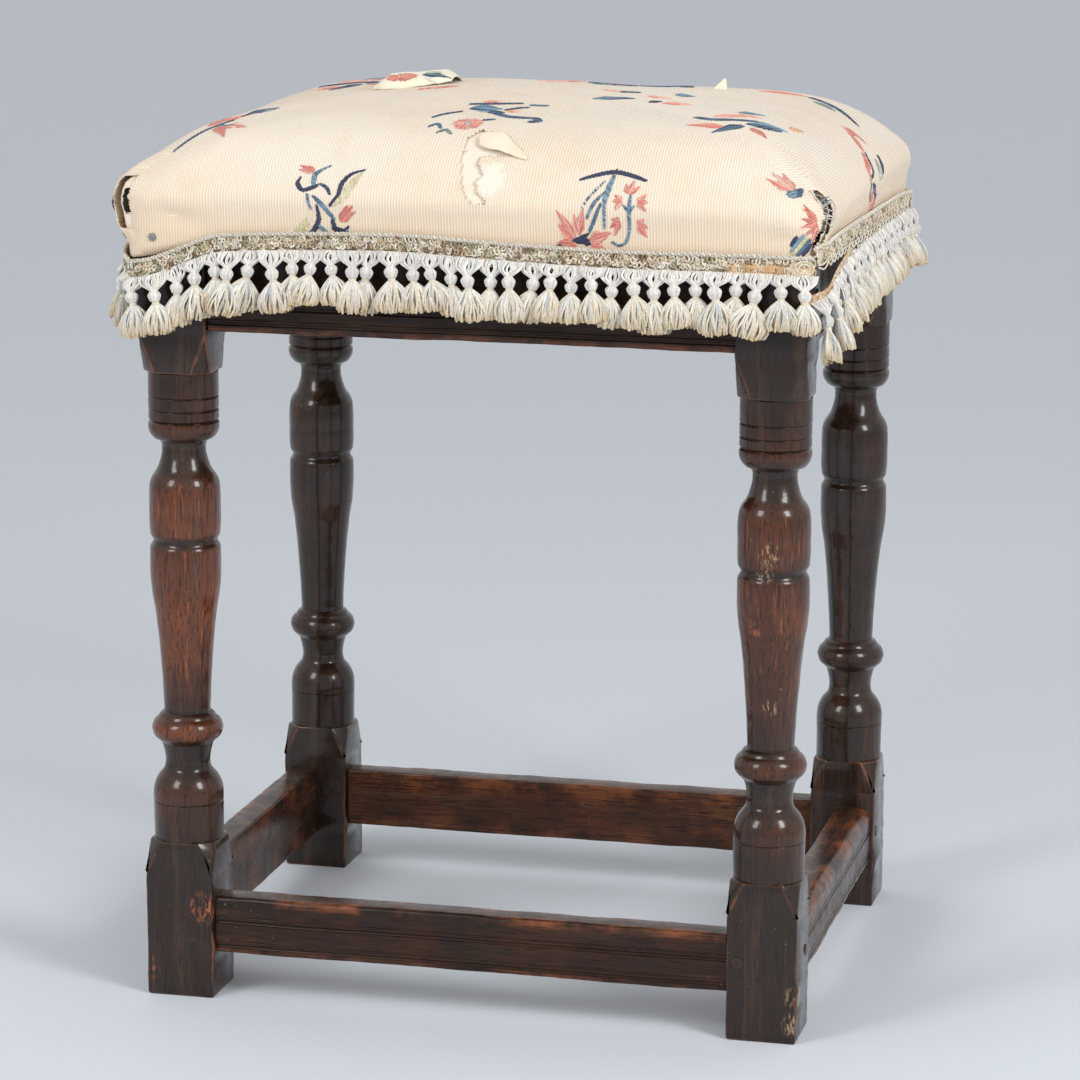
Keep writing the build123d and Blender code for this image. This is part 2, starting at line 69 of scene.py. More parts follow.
# ---- Legs --------------------------------------------------------------------------------------------
# Each leg is one piece of oak, turned between a square head and a square foot whose corners are cut back
# to stopped facets. Hands have rubbed the fullest turnings red-brown; the hollows and blocks are black.
leg_pitch_wide = 420.0
leg_pitch_deep = 339.0
leg_stock = 49.3  # just inside the joint pegs, which stand proud of old shrunken stock
leg_height = 541.0
foot_block_top = 113.0
head_block_bottom = 449.0
facet_width = 16.0
foot_facet_tip = 90.0
head_facet_tip = 479.0
block_arris = 1.7
turning_steps = 80
turning_cut = 1.6  # longest piece of a turning's outline
upright_cuts = 14  # cuts up each corner of a block, so that a worn arris can waver
arris_waver = 0.65
leg_lump = 0.28  # how far old hand turning strays from round, in slow lumps and small dents
leg_dent = 0.14
block_rubbing = 0.12
right_leg_rubbing = 0.8  # the right legs are rubbed less than the left
leg_places = {
    "front_left_leg": (-1, -1),
    "front_right_leg": (1, -1),
    "back_left_leg": (-1, 1),
    "back_right_leg": (1, 1),
}

# Old oak, from wax that has gone black to bare wood.
wax_black = (0.020, 0.0100, 0.0062)
wax_brown = (0.060, 0.0180, 0.0075)
rubbed_red = (0.16, 0.041, 0.0130)
fleck_orange = (0.40, 0.110, 0.030)
streak_brown = (0.060, 0.029, 0.016)
arris_brown = (0.24, 0.075, 0.026)
pore_black = (0.006, 0.0032, 0.0026)
scuff_tan = (0.30, 0.20, 0.13)
leg_wax = {"Specular_IOR_Level": 0.18, "Coat_Weight": 0.6, "Coat_Roughness": 0.13}
board_wax = {"Specular_IOR_Level": 0.12, "Coat_Weight": 0.35, "Coat_Roughness": 0.26}

# Scars on the front legs: middle, reach and colour.
bare_orange = (0.34, 0.10, 0.035)
bare_tan = (0.36, 0.23, 0.13)
leg_scars = [
    ((-192, -194, 66), 15.0, bare_orange),
    ((234, -194, 14), 11.0, bare_tan),
    ((232, -190, 34), 10.0, bare_tan),
    ((212, -193, 344), 11.0, bare_tan),
    ((208, -191, 330), 8.0, bare_tan),
    ((203, -190, 292), 7.0, bare_orange),
    ((212, -189, 236), 8.0, bare_tan),
    ((-236, -192, 20), 14.0, bare_orange),
]

# Down the turning: height, radius, how far the cut then swells past a straight line, and how rubbed it is.
leg_turning = [
    (449.0, 24.6, 0.0, 0.2),
    (432.2, 24.7, 0.0, 0.35),
    (431.2, 23.9, 0.0, 0.0),
    (430.2, 24.7, 0.0, 0.35),
    (423.0, 24.7, 0.0, 0.35),
    (422.0, 23.9, 0.0, 0.0),
    (421.0, 24.7, 0.0, 0.35),
    (415.5, 24.7, 0.0, 0.4),
    (414.0, 23.4, 0.0, 0.0),
    (412.6, 24.8, 1.6, 0.65),
    (401.5, 20.9, 0.0, 0.3),
    (399.5, 16.6, 0.0, 0.0),
    (396.5, 15.4, 0.0, 0.0),
    (391.5, 15.5, -0.2, 0.0),
    (383.0, 17.6, -0.2, 0.1),
    (379.6, 19.0, 0.0, 0.2),
    (377.6, 20.0, 1.1, 0.45),
    (366.5, 24.7, 0.25, 0.85),
    (350.0, 25.0, 0.25, 1.0),
    (334.5, 24.6, 0.5, 0.85),
    (330.4, 22.9, -0.3, 0.2),
    (328.5, 22.4, -0.3, 0.0),
    (326.6, 22.9, 0.4, 0.2),
    (323.0, 24.7, 0.1, 0.8),
    (305.0, 24.9, 0.1, 0.9),
    (290.0, 23.6, 0.0, 0.95),
    (278.0, 21.6, -0.1, 0.95),
    (254.0, 19.2, -0.1, 0.85),
    (224.0, 17.1, 0.0, 0.65),
    (207.0, 16.4, 0.0, 0.35),
    (204.6, 16.7, 0.0, 0.0),
    (203.6, 18.6, 0.3, 0.35),
    (200.6, 20.4, 0.9, 0.55),
    (194.6, 24.8, 0.5, 0.95),
    (190.6, 24.8, 0.9, 0.95),
    (184.6, 20.8, 0.2, 0.55),
    (182.2, 18.4, 0.0, 0.15),
    (180.0, 17.8, -0.3, 0.0),
    (170.0, 15.8, -0.3, 0.0),
    (163.0, 16.8, 0.0, 0.1),
    (161.0, 18.4, 1.0, 0.3),
    (149.0, 24.6, 0.2, 0.55),
    (140.2, 24.9, 0.0, 0.5),
    (139.4, 24.3, 0.0, 0.1),
    (138.6, 24.9, 0.0, 0.4),
    (113.0, 24.6, 0.0, 0.25),
]


def piece_from(bm, name, crease_angle=40):
    """A new object for the mesh in bm, its faces turned outward and shaded smooth up to an angle."""
    bmesh.ops.recalc_face_normals(bm, faces=bm.faces)
    mesh = bpy.data.meshes.new(name)
    bm.to_mesh(mesh)
    bm.free()
    mesh.shade_smooth()
    mesh.set_sharp_from_angle(angle=math.radians(crease_angle))
    piece = bpy.data.objects.new(name, mesh)
    bpy.context.scene.collection.objects.link(piece)
    return piece


def outline_down(rows, longest):
    """Points down a turning, no further apart than longest, each with its radius, height and rubbing."""
    points = []
    for (top, start, swell, start_rub), (foot, end, _, end_rub) in zip(rows, rows[1:]):
        length = math.hypot(end - start, top - foot)
        cuts = max(1, round(length / longest))
        for cut in range(cuts):
            share = cut / cuts
            bow = 4 * swell * share * (1 - share)
            radius = start + share * (end - start) + bow * (top - foot) / length
            height = top + share * (foot - top) + bow * (end - start) / length
            points.append((radius, height, start_rub + share * (end_rub - start_rub)))
    foot, end, _, end_rub = rows[-1]
    return points + [(end, foot, end_rub)]


def add_turning(bm, rows):
    """Spin a turning's outline round the Z axis. Its open ends lie on the blocks above and below."""
    rubbed = bm.verts.layers.float["rubbed"]
    chain = []
    for radius, height, rub in outline_down(rows, turning_cut):
        chain.append(bm.verts.new((radius * mm, 0, height * mm)))
        chain[-1][rubbed] = rub
    edges = [bm.edges.new(pair) for pair in zip(chain, chain[1:])]
    spin_round(bm, chain + edges, turning_steps)


def spin_round(bm, outline, steps):
    """Spin an outline once round the Z axis."""
    bmesh.ops.spin(
        bm, geom=outline, cent=(0, 0, 0), axis=(0, 0, 1), angle=math.tau, steps=steps, use_merge=True
    )


def of_kind(parts, kind):
    """The vertices, edges or faces among the parts of a mesh."""
    return [part for part in parts if isinstance(part, kind)]


def part_of_block(part, bottom, top):
    """Whether a vertex, edge or face belongs to the block being cut, and not to another part of the leg."""
    block = part.verts if hasattr(part, "verts") else [part]
    return all(bottom * mm - 1e-6 <= vert.co.z <= top * mm + 1e-6 for vert in block)


def add_block(bm, bottom, top, shoulder, tip):
    """Add a square block whose corner facets are widest at the shoulder and run out at the tip."""
    rubbed = bm.verts.layers.float["rubbed"]
    arris = bm.verts.layers.float["arris"]
    height = (top - bottom) * mm
    shape = Matrix.Translation((0, 0, (top + bottom) / 2 * mm)) @ Matrix.Diagonal(
        (leg_stock * mm, leg_stock * mm, height, 1)
    )
    bmesh.ops.create_cube(bm, size=1, matrix=shape)
    uprights = [
        edge
        for edge in bm.edges
        if part_of_block(edge, bottom, top) and abs(edge.verts[0].co.z - edge.verts[1].co.z) > height / 2
    ]
    bmesh.ops.subdivide_edges(bm, edges=uprights, cuts=upright_cuts, use_grid_fill=True)
    reach = leg_stock / 2 * 2**0.5
    for quarter in range(4):
        turn = Matrix.Rotation(math.radians(45 + 90 * quarter), 3, "Z")
        point = turn @ Vector(((reach - facet_width / 2) * mm, 0, shoulder * mm))
        rise = math.copysign(facet_width / 2, shoulder - tip)
        slope = turn @ Vector((abs(shoulder - tip), 0, rise)).normalized()
        whole = [part for part in [*bm.verts, *bm.edges, *bm.faces] if part_of_block(part, bottom, top)]
        cut = bmesh.ops.bisect_plane(bm, geom=whole, plane_co=point, plane_no=slope, clear_outer=True)
        bmesh.ops.edgeloop_fill(bm, edges=of_kind(cut["geom_cut"], bmesh.types.BMEdge))
    edges = [edge for edge in bm.edges if part_of_block(edge, bottom, top)]
    edges = [edge for edge in edges if edge.calc_face_angle(0) > math.radians(20)]
    for vert in {vert for edge in edges for vert in edge.verts}:
        vert.co += noise.noise_vector(vert.co * 130) * arris_waver * mm
    worn = bmesh.ops.bevel(
        bm, geom=edges, offset=block_arris * mm, segments=2, profile=0.5, affect="EDGES", material=-1
    )
    worn_faces = set(worn["faces"])
    for vert in bm.verts:
        if part_of_block(vert, bottom, top):
            vert[rubbed] = block_rubbing
            vert[arris] = float(all(face in worn_faces for face in vert.link_faces))


def make_leg(name, sign_x, sign_y):
    """Build one leg, turned and with its square ends, on its own centre and then set it in place."""
    bm = bmesh.new()
    bm.verts.layers.float.new("rubbed")
    bm.verts.layers.float.new("arris")
    add_block(bm, 0, foot_block_top, foot_block_top, foot_facet_tip)
    add_block(bm, head_block_bottom, leg_height, head_block_bottom, head_facet_tip)
    add_turning(bm, leg_turning)
    centre = Vector((sign_x * leg_pitch_wide / 2, sign_y * leg_pitch_deep / 2, 0)) * mm
    bmesh.ops.translate(bm, verts=bm.verts, vec=centre)
    for vert in bm.verts:
        outward = Vector((vert.co.x - centre.x, vert.co.y - centre.y, 0))
        lump = noise.noise(Vector((vert.co.x * 35, vert.co.y * 35, vert.co.z * 14)))
        dent = noise.noise(vert.co * 110)
        vert.co += outward.normalized() * (leg_lump * lump + leg_dent * dent) * mm
    rubbed = bm.verts.layers.float["rubbed"]
    # Painted shade: the back legs are darkened, for the shade that falls on them.
    for vert in bm.verts:
        if sign_x > 0:
            vert[rubbed] *= right_leg_rubbing
        if sign_y > 0:
            vert[rubbed] = 0.5 * vert[rubbed] - 0.2  # painted shade on the back legs
    leg = piece_from(bm, name + "_oak", 32)
    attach(leg, "root")
    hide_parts(name)
    return leg


def feed(tree, socket, value):
    """Link a node's input to another node's output, or set it. A colour is given without its alpha."""
    if isinstance(value, bpy.types.NodeSocket):
        tree.links.new(value, socket)
    elif socket.type == "RGBA":
        socket.default_value = (*value, 1.0)
    else:
        socket.default_value = value


def add_node(tree, kind, settings=None, **inputs):
    """Add a node with its settings, and set or link its inputs, named with _ for a space."""
    made = tree.nodes.new(kind)
    for name, value in (settings or {}).items():
        setattr(made, name, value)
    for name, value in inputs.items():
        feed(tree, made.inputs[name.replace("_", " ")], value)
    return made


def calculate(tree, operation, *values, clamp=False):
    """The result of one Math node."""
    made = tree.nodes.new("ShaderNodeMath")
    made.operation = operation
    made.use_clamp = clamp
    for socket, value in zip(made.inputs, values):
        feed(tree, socket, value)
    return made.outputs[0]


def blend_colour(tree, share, first, second, mode="MIX"):
    """The colour from one Mix node."""
    made = tree.nodes.new("ShaderNodeMix")
    made.data_type = "RGBA"
    made.blend_type = mode
    made.clamp_factor = True
    for number, value in ((0, share), (6, first), (7, second)):
        feed(tree, made.inputs[number], value)
    return made.outputs[2]


def spread(tree, value, low, high, new_low=0.0, new_high=1.0):
    """A value brought smoothly from one range to another."""
    limits = {"From_Min": low, "From_Max": high, "To_Min": new_low, "To_Max": new_high}
    smooth = {"interpolation_type": "SMOOTHSTEP"}
    return add_node(tree, "ShaderNodeMapRange", smooth, Value=value, **limits).outputs[0]


def mottle(tree, place, scale, detail=3.0, roughness=0.55, distortion=0.0):
    """The value of one Noise texture."""
    settings = {"Scale": scale, "Detail": detail, "Roughness": roughness, "Distortion": distortion}
    return add_node(tree, "ShaderNodeTexNoise", Vector=place, **settings).outputs["Fac"]


def new_group(name, inputs, outputs):
    """A node group whose sockets are given as names and kinds: its tree, its inputs and its outputs."""
    tree = bpy.data.node_groups.new(name, "ShaderNodeTree")
    for socket_name, kind in inputs:
        tree.interface.new_socket(socket_name, in_out="INPUT", socket_type="NodeSocket" + kind)
    for socket_name, kind in outputs:
        tree.interface.new_socket(socket_name, in_out="OUTPUT", socket_type="NodeSocket" + kind)
    return tree, tree.nodes.new("NodeGroupInput").outputs, tree.nodes.new("NodeGroupOutput").inputs


def new_material(name):
    """A new material: itself, its nodes, its shader, and the place of each point on the object."""
    material = bpy.data.materials.new(name)
    material.use_nodes = True
    tree = material.node_tree
    place = tree.nodes.new("ShaderNodeTexCoord").outputs["Object"]
    return material, tree, tree.nodes["Principled BSDF"], place


def finish_shader(tree, shader, colour, relief, strength, depth, **values):
    """Give a shader its colour, its relief to a depth, and the values that are the same all over."""
    bump = add_node(tree, "ShaderNodeBump", Strength=strength, Distance=depth * mm, Height=relief)
    tree.links.new(colour, shader.inputs["Base Color"])
    tree.links.new(bump.outputs[0], shader.inputs["Normal"])
    for name, value in values.items():
        feed(tree, shader.inputs[name.replace("_", " ")], value)


def old_oak_group():
    """Colour, gloss and relief of oak that is black with old wax and rubbed through to red-brown."""
    tree, given, result = new_group(
        "old oak",
        [("Grain place", "Vector"), ("Place", "Vector"), ("Rubbed", "Float"), ("Arris", "Float")],
        [("Color", "Color"), ("Roughness", "Float"), ("Relief", "Float")],
    )
    grain = mottle(tree, given["Grain place"], 420, 4, 0.65)
    pores = mottle(tree, given["Grain place"], 900, 2, 0.6)
    figure = mottle(tree, given["Grain place"], 90, 3, 0.6, 0.3)
    patch = mottle(tree, given["Place"], 28, 4, 0.6)
    patchy = calculate(tree, "MULTIPLY_ADD", patch, 0.9, -0.47)
    figured = calculate(tree, "MULTIPLY_ADD", figure, 0.5, -0.25)
    rubbing = calculate(tree, "ADD", given["Rubbed"], patchy)
    rubbing = calculate(tree, "ADD", rubbing, figured, clamp=True)
    colour = blend_colour(tree, spread(tree, rubbing, 0.05, 0.6), wax_black, wax_brown)
    colour = blend_colour(tree, spread(tree, rubbing, 0.55, 1.05), colour, rubbed_red)
    fleck = calculate(tree, "MULTIPLY", spread(tree, grain, 0.54, 0.72), spread(tree, rubbing, 0.35, 1.0))
    colour = blend_colour(tree, calculate(tree, "MULTIPLY", fleck, 0.85), colour, fleck_orange)
    streak = calculate(tree, "MULTIPLY", spread(tree, figure, 0.46, 0.68), 0.75)
    colour = blend_colour(tree, streak, colour, streak_brown)
    edge = calculate(tree, "MULTIPLY", given["Arris"], spread(tree, patch, 0.4, 0.66))
    colour = blend_colour(tree, calculate(tree, "MULTIPLY", edge, 0.8), colour, arris_brown)
    colour = blend_colour(tree, spread(tree, pores, 0.36, 0.5, 0.72, 0.0), colour, pore_black)
    speck = spread(tree, mottle(tree, given["Place"], 310, 2, 0.7), 0.70, 0.76)
    near_speck = spread(tree, mottle(tree, given["Place"], 24, 2, 0.5), 0.50, 0.66)
    scuff = calculate(tree, "MULTIPLY", calculate(tree, "MULTIPLY", speck, near_speck), 0.7)
    tree.links.new(blend_colour(tree, scuff, colour, scuff_tan), result["Color"])
    haze = mottle(tree, given["Place"], 75, 5, 0.7)
    tree.links.new(spread(tree, haze, 0.3, 0.75, 0.2, 0.46), result["Roughness"])
    dents = calculate(tree, "MULTIPLY", mottle(tree, given["Place"], 160, 2, 0.5), 0.6)
    relief = calculate(tree, "ADD", calculate(tree, "MULTIPLY", pores, 0.5), dents)
    tree.links.new(relief, result["Relief"])
    return tree


def add_scars(tree, place, colour):
    """Worn and scratched spots of bare oak at their places on the front legs, broken by the grain."""
    streaks = add_node(tree, "ShaderNodeMapping", Vector=place, Scale=(1.0, 1.0, 0.3)).outputs[0]
    broken = spread(tree, mottle(tree, streaks, 480, 3, 0.7), 0.50, 0.60)
    for spot, reach, tint in leg_scars:
        offset = add_node(tree, "ShaderNodeVectorMath", {"operation": "DISTANCE"})
        tree.links.new(place, offset.inputs[0])
        offset.inputs[1].default_value = Vector(spot) * mm
        near = spread(tree, offset.outputs["Value"], reach * mm, 0.3 * reach * mm)
        colour = blend_colour(tree, calculate(tree, "MULTIPLY", near, broken), colour, tint)
    return colour


def oak_material(name, oak_group, along):
    """Oak with its grain along the given axis. The upright oak is that of the legs."""
    material, tree, shader, place = new_material(name)
    stretch = tuple(0.055 if axis == along else 1.0 for axis in "XYZ")
    grain_place = add_node(tree, "ShaderNodeMapping", Vector=place, Scale=stretch).outputs[0]
    oak = add_node(tree, "ShaderNodeGroup", {"node_tree": oak_group}, Grain_place=grain_place, Place=place)
    for socket_name, attribute_name in (("Rubbed", "rubbed"), ("Arris", "arris")):
        painted = add_node(tree, "ShaderNodeAttribute", {"attribute_name": attribute_name})
        tree.links.new(painted.outputs["Fac"], oak.inputs[socket_name])
    colour = add_scars(tree, place, oak.outputs["Color"]) if along == "Z" else oak.outputs["Color"]
    wax = leg_wax if along == "Z" else board_wax
    finish_shader(tree, shader, colour, oak.outputs["Relief"], 0.55, 0.35, **wax)
    tree.links.new(oak.outputs["Roughness"], shader.inputs["Roughness"])
    return material


oak_group = old_oak_group()
oak_grain_up = oak_material("oak, grain up", oak_group, "Z")
for name, (sign_x, sign_y) in leg_places.items():
    make_leg(name, sign_x, sign_y).data.materials.append(oak_grain_up)


# ---- Rails and stretchers ----------------------------------------------------------------------------
# Riven oak boards, tenoned into the legs. The outer faces have run grooves, and years of feet have worn
# the upper arrises of the stretchers round and pale, the right one most of all.
half_wide = 235.0
half_deep = 194.5
span_wide = 370.0  # leg shoulder to leg shoulder
span_deep = 289.0
rail_bottom = 480.0
rail_depth = 61.0
rail_thickness = 22.0
rail_setback = 4.0
shoulder_gap = 0.35  # the dark line where a shoulder has shrunk away from its leg
board_stations = 60
board_wave = 0.45  # how far riven oak strays from flat, in slow waves and small ripples
board_ripple = 0.16
arris_wear = 1.2  # how much further a worn arris strays
rail_rubbing = 0.2
stretcher_rubbing = {"front": 0.3, "right": 0.3, "back": 0.5, "left": 0.3}
rail_grooves = [(6.0, 1.3), (9.2, 0.8), (17.0, 1.4)]  # height and radius of each run groove
side_ways = {
    "front": (Vector((0, -1, 0)), Vector((1, 0, 0)), half_deep, span_wide),
    "right": (Vector((1, 0, 0)), Vector((0, 1, 0)), half_wide, span_deep),
    "back": (Vector((0, 1, 0)), Vector((-1, 0, 0)), half_deep, span_wide),
    "left": (Vector((-1, 0, 0)), Vector((0, -1, 0)), half_wide, span_deep),
}

# Each stretcher's bottom, depth, thickness, setback, and the radius worn on its upper outer arris.
stretcher_sizes = {
    "front": (33.0, 41.0, 21.0, 5.5, 3.5),
    "back": (35.0, 44.0, 22.0, 22.0, 3.0),
    "left": (27.0, 53.0, 21.7, 3.5, 3.5),
    "right": (36.5, 41.5, 26.5, 3.0, 8.0),
}


def on_side(side, along, outward, height):
    """A point in metres, from its place along a side, its distance out from the middle, and its height."""
    out_way, along_way, _, _ = side_ways[side]
    return (out_way * outward + along_way * along + Vector((0, 0, height))) * mm


def arc_points(centre, radius, start, end, steps):
    """Points on an arc, between two angles in degrees."""
    turns = [math.radians(start + (end - start) * step / steps) for step in range(steps + 1)]
    return [(centre[0] + radius * math.cos(turn), centre[1] + radius * math.sin(turn)) for turn in turns]


def board_section(thickness, depth, upper_arris, lower_arris, grooves):
    """Section of a board as points, inward from the outer face and up, with how worn each one is."""
    small = 1.5
    section = []
    for height, radius in grooves:
        section += [(x, y, 0.0) for x, y in arc_points((0, height), radius, -90, 90, 6)]
    section += [(0, depth - upper_arris - 3, 0.0)]
    section += [
        (x, y, 1.0) for x, y in arc_points((upper_arris, depth - upper_arris), upper_arris, 180, 90, 6)
    ]
    section += [(thickness * 0.5, depth, 0.0)]
    section += [(x, y, 0.8) for x, y in arc_points((thickness - small, depth - small), small, 90, 0, 3)]
    section += [(thickness, depth * 0.5, 0.0)]
    section += [(x, y, 0.5) for x, y in arc_points((thickness - small, small), small, 0, -90, 3)]
    section += [(thickness * 0.5, 0, 0.0)]
    section += [(x, y, 0.8) for x, y in arc_points((lower_arris, lower_arris), lower_arris, 270, 180, 4)]
    return section


def make_board(name, side, bottom, setback, section, rub):
    """Extrude a board's section from leg to leg, in stations, and let it waver as riven oak does."""
    length = side_ways[side][3] - 2 * shoulder_gap
    reach = side_ways[side][2] - setback
    bm = bmesh.new()
    rubbed = bm.verts.layers.float.new("rubbed")
    arris = bm.verts.layers.float.new("arris")
    corners = []
    for inward, height, worn in section:
        corners.append(bm.verts.new(on_side(side, -length / 2, reach - inward, bottom + height)))
        corners[-1][rubbed] = rub
        corners[-1][arris] = worn
    end = bm.faces.new(corners)
    step = side_ways[side][1] * length / board_stations * mm
    for _ in range(board_stations):
        pulled = bmesh.ops.extrude_face_region(bm, geom=[end])["geom"]
        bmesh.ops.translate(bm, verts=of_kind(pulled, bmesh.types.BMVert), vec=step)
        end = of_kind(pulled, bmesh.types.BMFace)[0]
    for vert in bm.verts:
        wave = noise.noise_vector(vert.co * 22) * board_wave + noise.noise_vector(vert.co * 90) * board_ripple
        vert.co += wave * (1 + arris_wear * vert[arris]) * mm
    board = piece_from(bm, name + "_oak", 38)
    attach(board, "root")
    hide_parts(name)
    return board


oak_grain_across = oak_material("oak, grain side to side", oak_group, "X")
oak_grain_deep = oak_material("oak, grain front to back", oak_group, "Y")
for side in side_ways:
    grain = oak_grain_across if side in ("front", "back") else oak_grain_deep
    rail_section = board_section(rail_thickness, rail_depth, 1.0, 2.5, rail_grooves)
    rail = make_board(side + "_rail", side, rail_bottom, rail_setback, rail_section, rail_rubbing)
    rail.data.materials.append(grain)
    bottom, depth, thickness, setback, worn_radius = stretcher_sizes[side]
    half_up = depth * 0.55
    run_grooves = [] if side == "back" else [(5.0, 1.2), (8.4, 0.7), (half_up, 1.4), (half_up + 3.6, 0.7)]
    section = board_section(thickness, depth, worn_radius, 1.5, run_grooves)
    stretcher = make_board(side + "_stretcher", side, bottom, setback, section, stretcher_rubbing[side])
    stretcher.data.materials.append(grain)


# ---- Pegs --------------------------------------------------------------------------------------------
# Riven oak pegs, shaved to eight sides and driven through the joints: two in each rail joint, one in each
# stretcher joint. Their end grain shows on the faces of the legs.
peg_black = (0.008, 0.004, 0.003)
peg_brown = (0.06, 0.024, 0.013)


def peg_material():
    """Oak end grain under old wax."""
    material, tree, shader, place = new_material("oak peg end grain")
    pores = mottle(tree, place, 900, 3, 0.6)
    colour = blend_colour(tree, spread(tree, pores, 0.4, 0.62), peg_black, peg_brown)
    finish_shader(tree, shader, colour, pores, 0.5, 0.3, Roughness=0.38)
    return material


peg_oak = peg_material()
for name in ("rail_pegs", "stretcher_pegs", "board_pegs"):
    frame["nodes"][name].data.materials.clear()
    frame["nodes"][name].data.materials.append(peg_oak)


# ---- Seat board --------------------------------------------------------------------------------------
# The stool's own oak top, pegged down on the rails. It is out of sight under the stuffing, and takes the
# tacks of the cover in its edge.
frame["nodes"]["seat_board"].data.materials.clear()
frame["nodes"]["seat_board"].data.materials.append(oak_grain_across)


# ---- Stuffing ----------------------------------------------------------------------------------------
# A pad of curled hair on the board, worn lower towards the front edge and a little lumpy. Its fullest
# outline lies just above the board; from there it rounds over to a low crown.
seat_half_wide = 247.1
seat_half_deep = 206.6
foot_corner_radius = 21.0
full_corner_radius = 34.0
corner_ease = 0.35  # how much rounder the corners get for each millimetre drawn in
board_top = 563.0
fullest_height = 575.0
seat_cells = 104  # cells from edge to edge of the cloth, each way
lump_height = 2.2  # slow lumps of the hair under the cloth, and quick ones between them
quick_lump_height = 0.8
lumps_begin_over = 20.0  # height above the board in which the lumps reach their full size
stuffing_under_cloths = 2.4
press_frames = 18
press_limit = 1.2  # how far the stuffing may press the cloth out
loosely_held = 0.02
hair_brown = (0.10, 0.065, 0.04)
hair_tan = (0.16, 0.11, 0.07)

# Up the middle of the front: how far the cover is drawn in from its fullest outline, and its height.
seat_rise = [
    (4.5, 542.0),
    (4.3, 551.0),
    (3.7, 561.0),
    (1.1, 568.0),
    (0.0, 575.0),
    (1.3, 580.0),
    (4.6, 584.6),
    (12.0, 592.2),
    (25.0, 604.3),
    (45.0, 616.2),
    (75.0, 624.4),
    (110.0, 628.4),
    (150.0, 632.8),
    (206.6, 636.4),
]


def smooth_line(points, steps):
    """A smooth line through the given points, with that many steps between each two."""
    ends = [points[0] * 2 - points[1], *points, points[-1] * 2 - points[-2]]
    line = []
    for before, start, end, after in zip(ends, ends[1:], ends[2:], ends[3:]):
        for step in range(steps):
            share = step / steps
            bend = (before * 2 - start * 5 + end * 4 - after) * share**2
            turn = (start * 3 - before - end * 3 + after) * share**3
            line.append((start * 2 + (end - before) * share + bend + turn) / 2)
    return line + [points[-1]]


def half_width(inset):
    """Half the width of the seat where its depth is drawn in by inset: both reach the middle together."""
    extra = seat_half_wide / seat_half_deep - 1
    return seat_half_wide - inset * (1 + extra * (inset / seat_half_deep) ** 2)


def seat_levels():
    """Levels from the middle of the seat to its hem.

    Each one has the run of cloth front to back and side to side, the inset and the height."""
    line = smooth_line([Vector(row) for row in seat_rise], 10)[::-1]
    levels = [(0.0, 0.0, line[0].x, line[0].y)]
    for above, below in zip(line, line[1:]):
        run_deep = levels[-1][0] + (below - above).length
        run_wide = levels[-1][1] + math.hypot(half_width(below.x) - half_width(above.x), below.y - above.y)
        levels.append((run_deep, run_wide, below.x, below.y))
    return levels


levels_down = seat_levels()
cloth_reach_deep, cloth_reach_wide = levels_down[-1][:2]


def level_at(share):
    """The level at a share of the way from the middle of the seat to its hem."""
    run = min(share, 1.0) * cloth_reach_deep
    for upper, lower in zip(levels_down, levels_down[1:]):
        if run <= lower[0]:
            part = (run - upper[0]) / (lower[0] - upper[0])
            return [above + part * (below - above) for above, below in zip(upper, lower)]
    return list(levels_down[-1])


def corner_radius(inset, height):
    """Radius of the seat's corners, seen from above, at one level."""
    if height >= fullest_height:
        return full_corner_radius + corner_ease * inset
    risen = max(0.0, height - board_top) / (fullest_height - board_top)
    return foot_corner_radius + risen * (full_corner_radius - foot_corner_radius)


def on_seat(across, along, faces_front):
    """Place on the seat, and place on the flat cloth, of a point of the square from -1 to 1 each way.

    The square's rings lie level round the seat. faces_front is true for the cloth that turns down over the
    front or the back, and false for the cloth that turns down over a side."""
    share = max(abs(across), abs(along), 1e-6)
    run_deep, run_wide, inset, height = level_at(share)
    wide, deep = half_width(inset), seat_half_deep - inset
    radius = min(corner_radius(inset, height), 0.97 * min(wide, deep))
    half, reach = (wide, deep) if faces_front else (deep, wide)
    run = (across if faces_front else along) / share * (half - radius + radius * math.pi / 4)
    turn = max(0.0, abs(run) - (half - radius)) / max(radius, 1e-6)
    level_run = math.copysign(min(abs(run), half - radius) + radius * math.sin(turn), run)
    out = reach - radius * (1 - math.cos(turn))
    if faces_front:
        on_cloth = Vector((run, math.copysign(run_deep, along)))
        return Vector((level_run, math.copysign(out, along), height)), on_cloth
    on_cloth = Vector((math.copysign(run_wide, across), run))
    return Vector((math.copysign(out, across), level_run, height)), on_cloth


def seat_form(name):
    """The form that the stuffing and both cloths share, down to the hem. Its UV map is the flat cloth."""
    bm = bmesh.new()
    bmesh.ops.create_grid(bm, x_segments=seat_cells, y_segments=seat_cells, size=1)
    cloth = bm.loops.layers.uv.new("cloth")
    for face in bm.faces:
        middle = face.calc_center_median()
        faces_front = abs(middle.y) >= abs(middle.x)
        for loop in face.loops:
            loop[cloth].uv = on_seat(loop.vert.co.x, loop.vert.co.y, faces_front)[1] * mm
    for vert in bm.verts:
        vert.co = on_seat(vert.co.x, vert.co.y, abs(vert.co.y) >= abs(vert.co.x))[0] * mm
    bm.normal_update()
    for vert in bm.verts:
        free = min(1.0, max(0.0, (vert.co.z / mm - board_top) / lumps_begin_over))
        slow = noise.noise(vert.co * 9 + Vector((3, 1, 0))) * lump_height
        quick = noise.noise(vert.co * 27) * quick_lump_height
        vert.co += vert.normal * (slow + quick) * free * mm
    return piece_from(bm, name, 180)


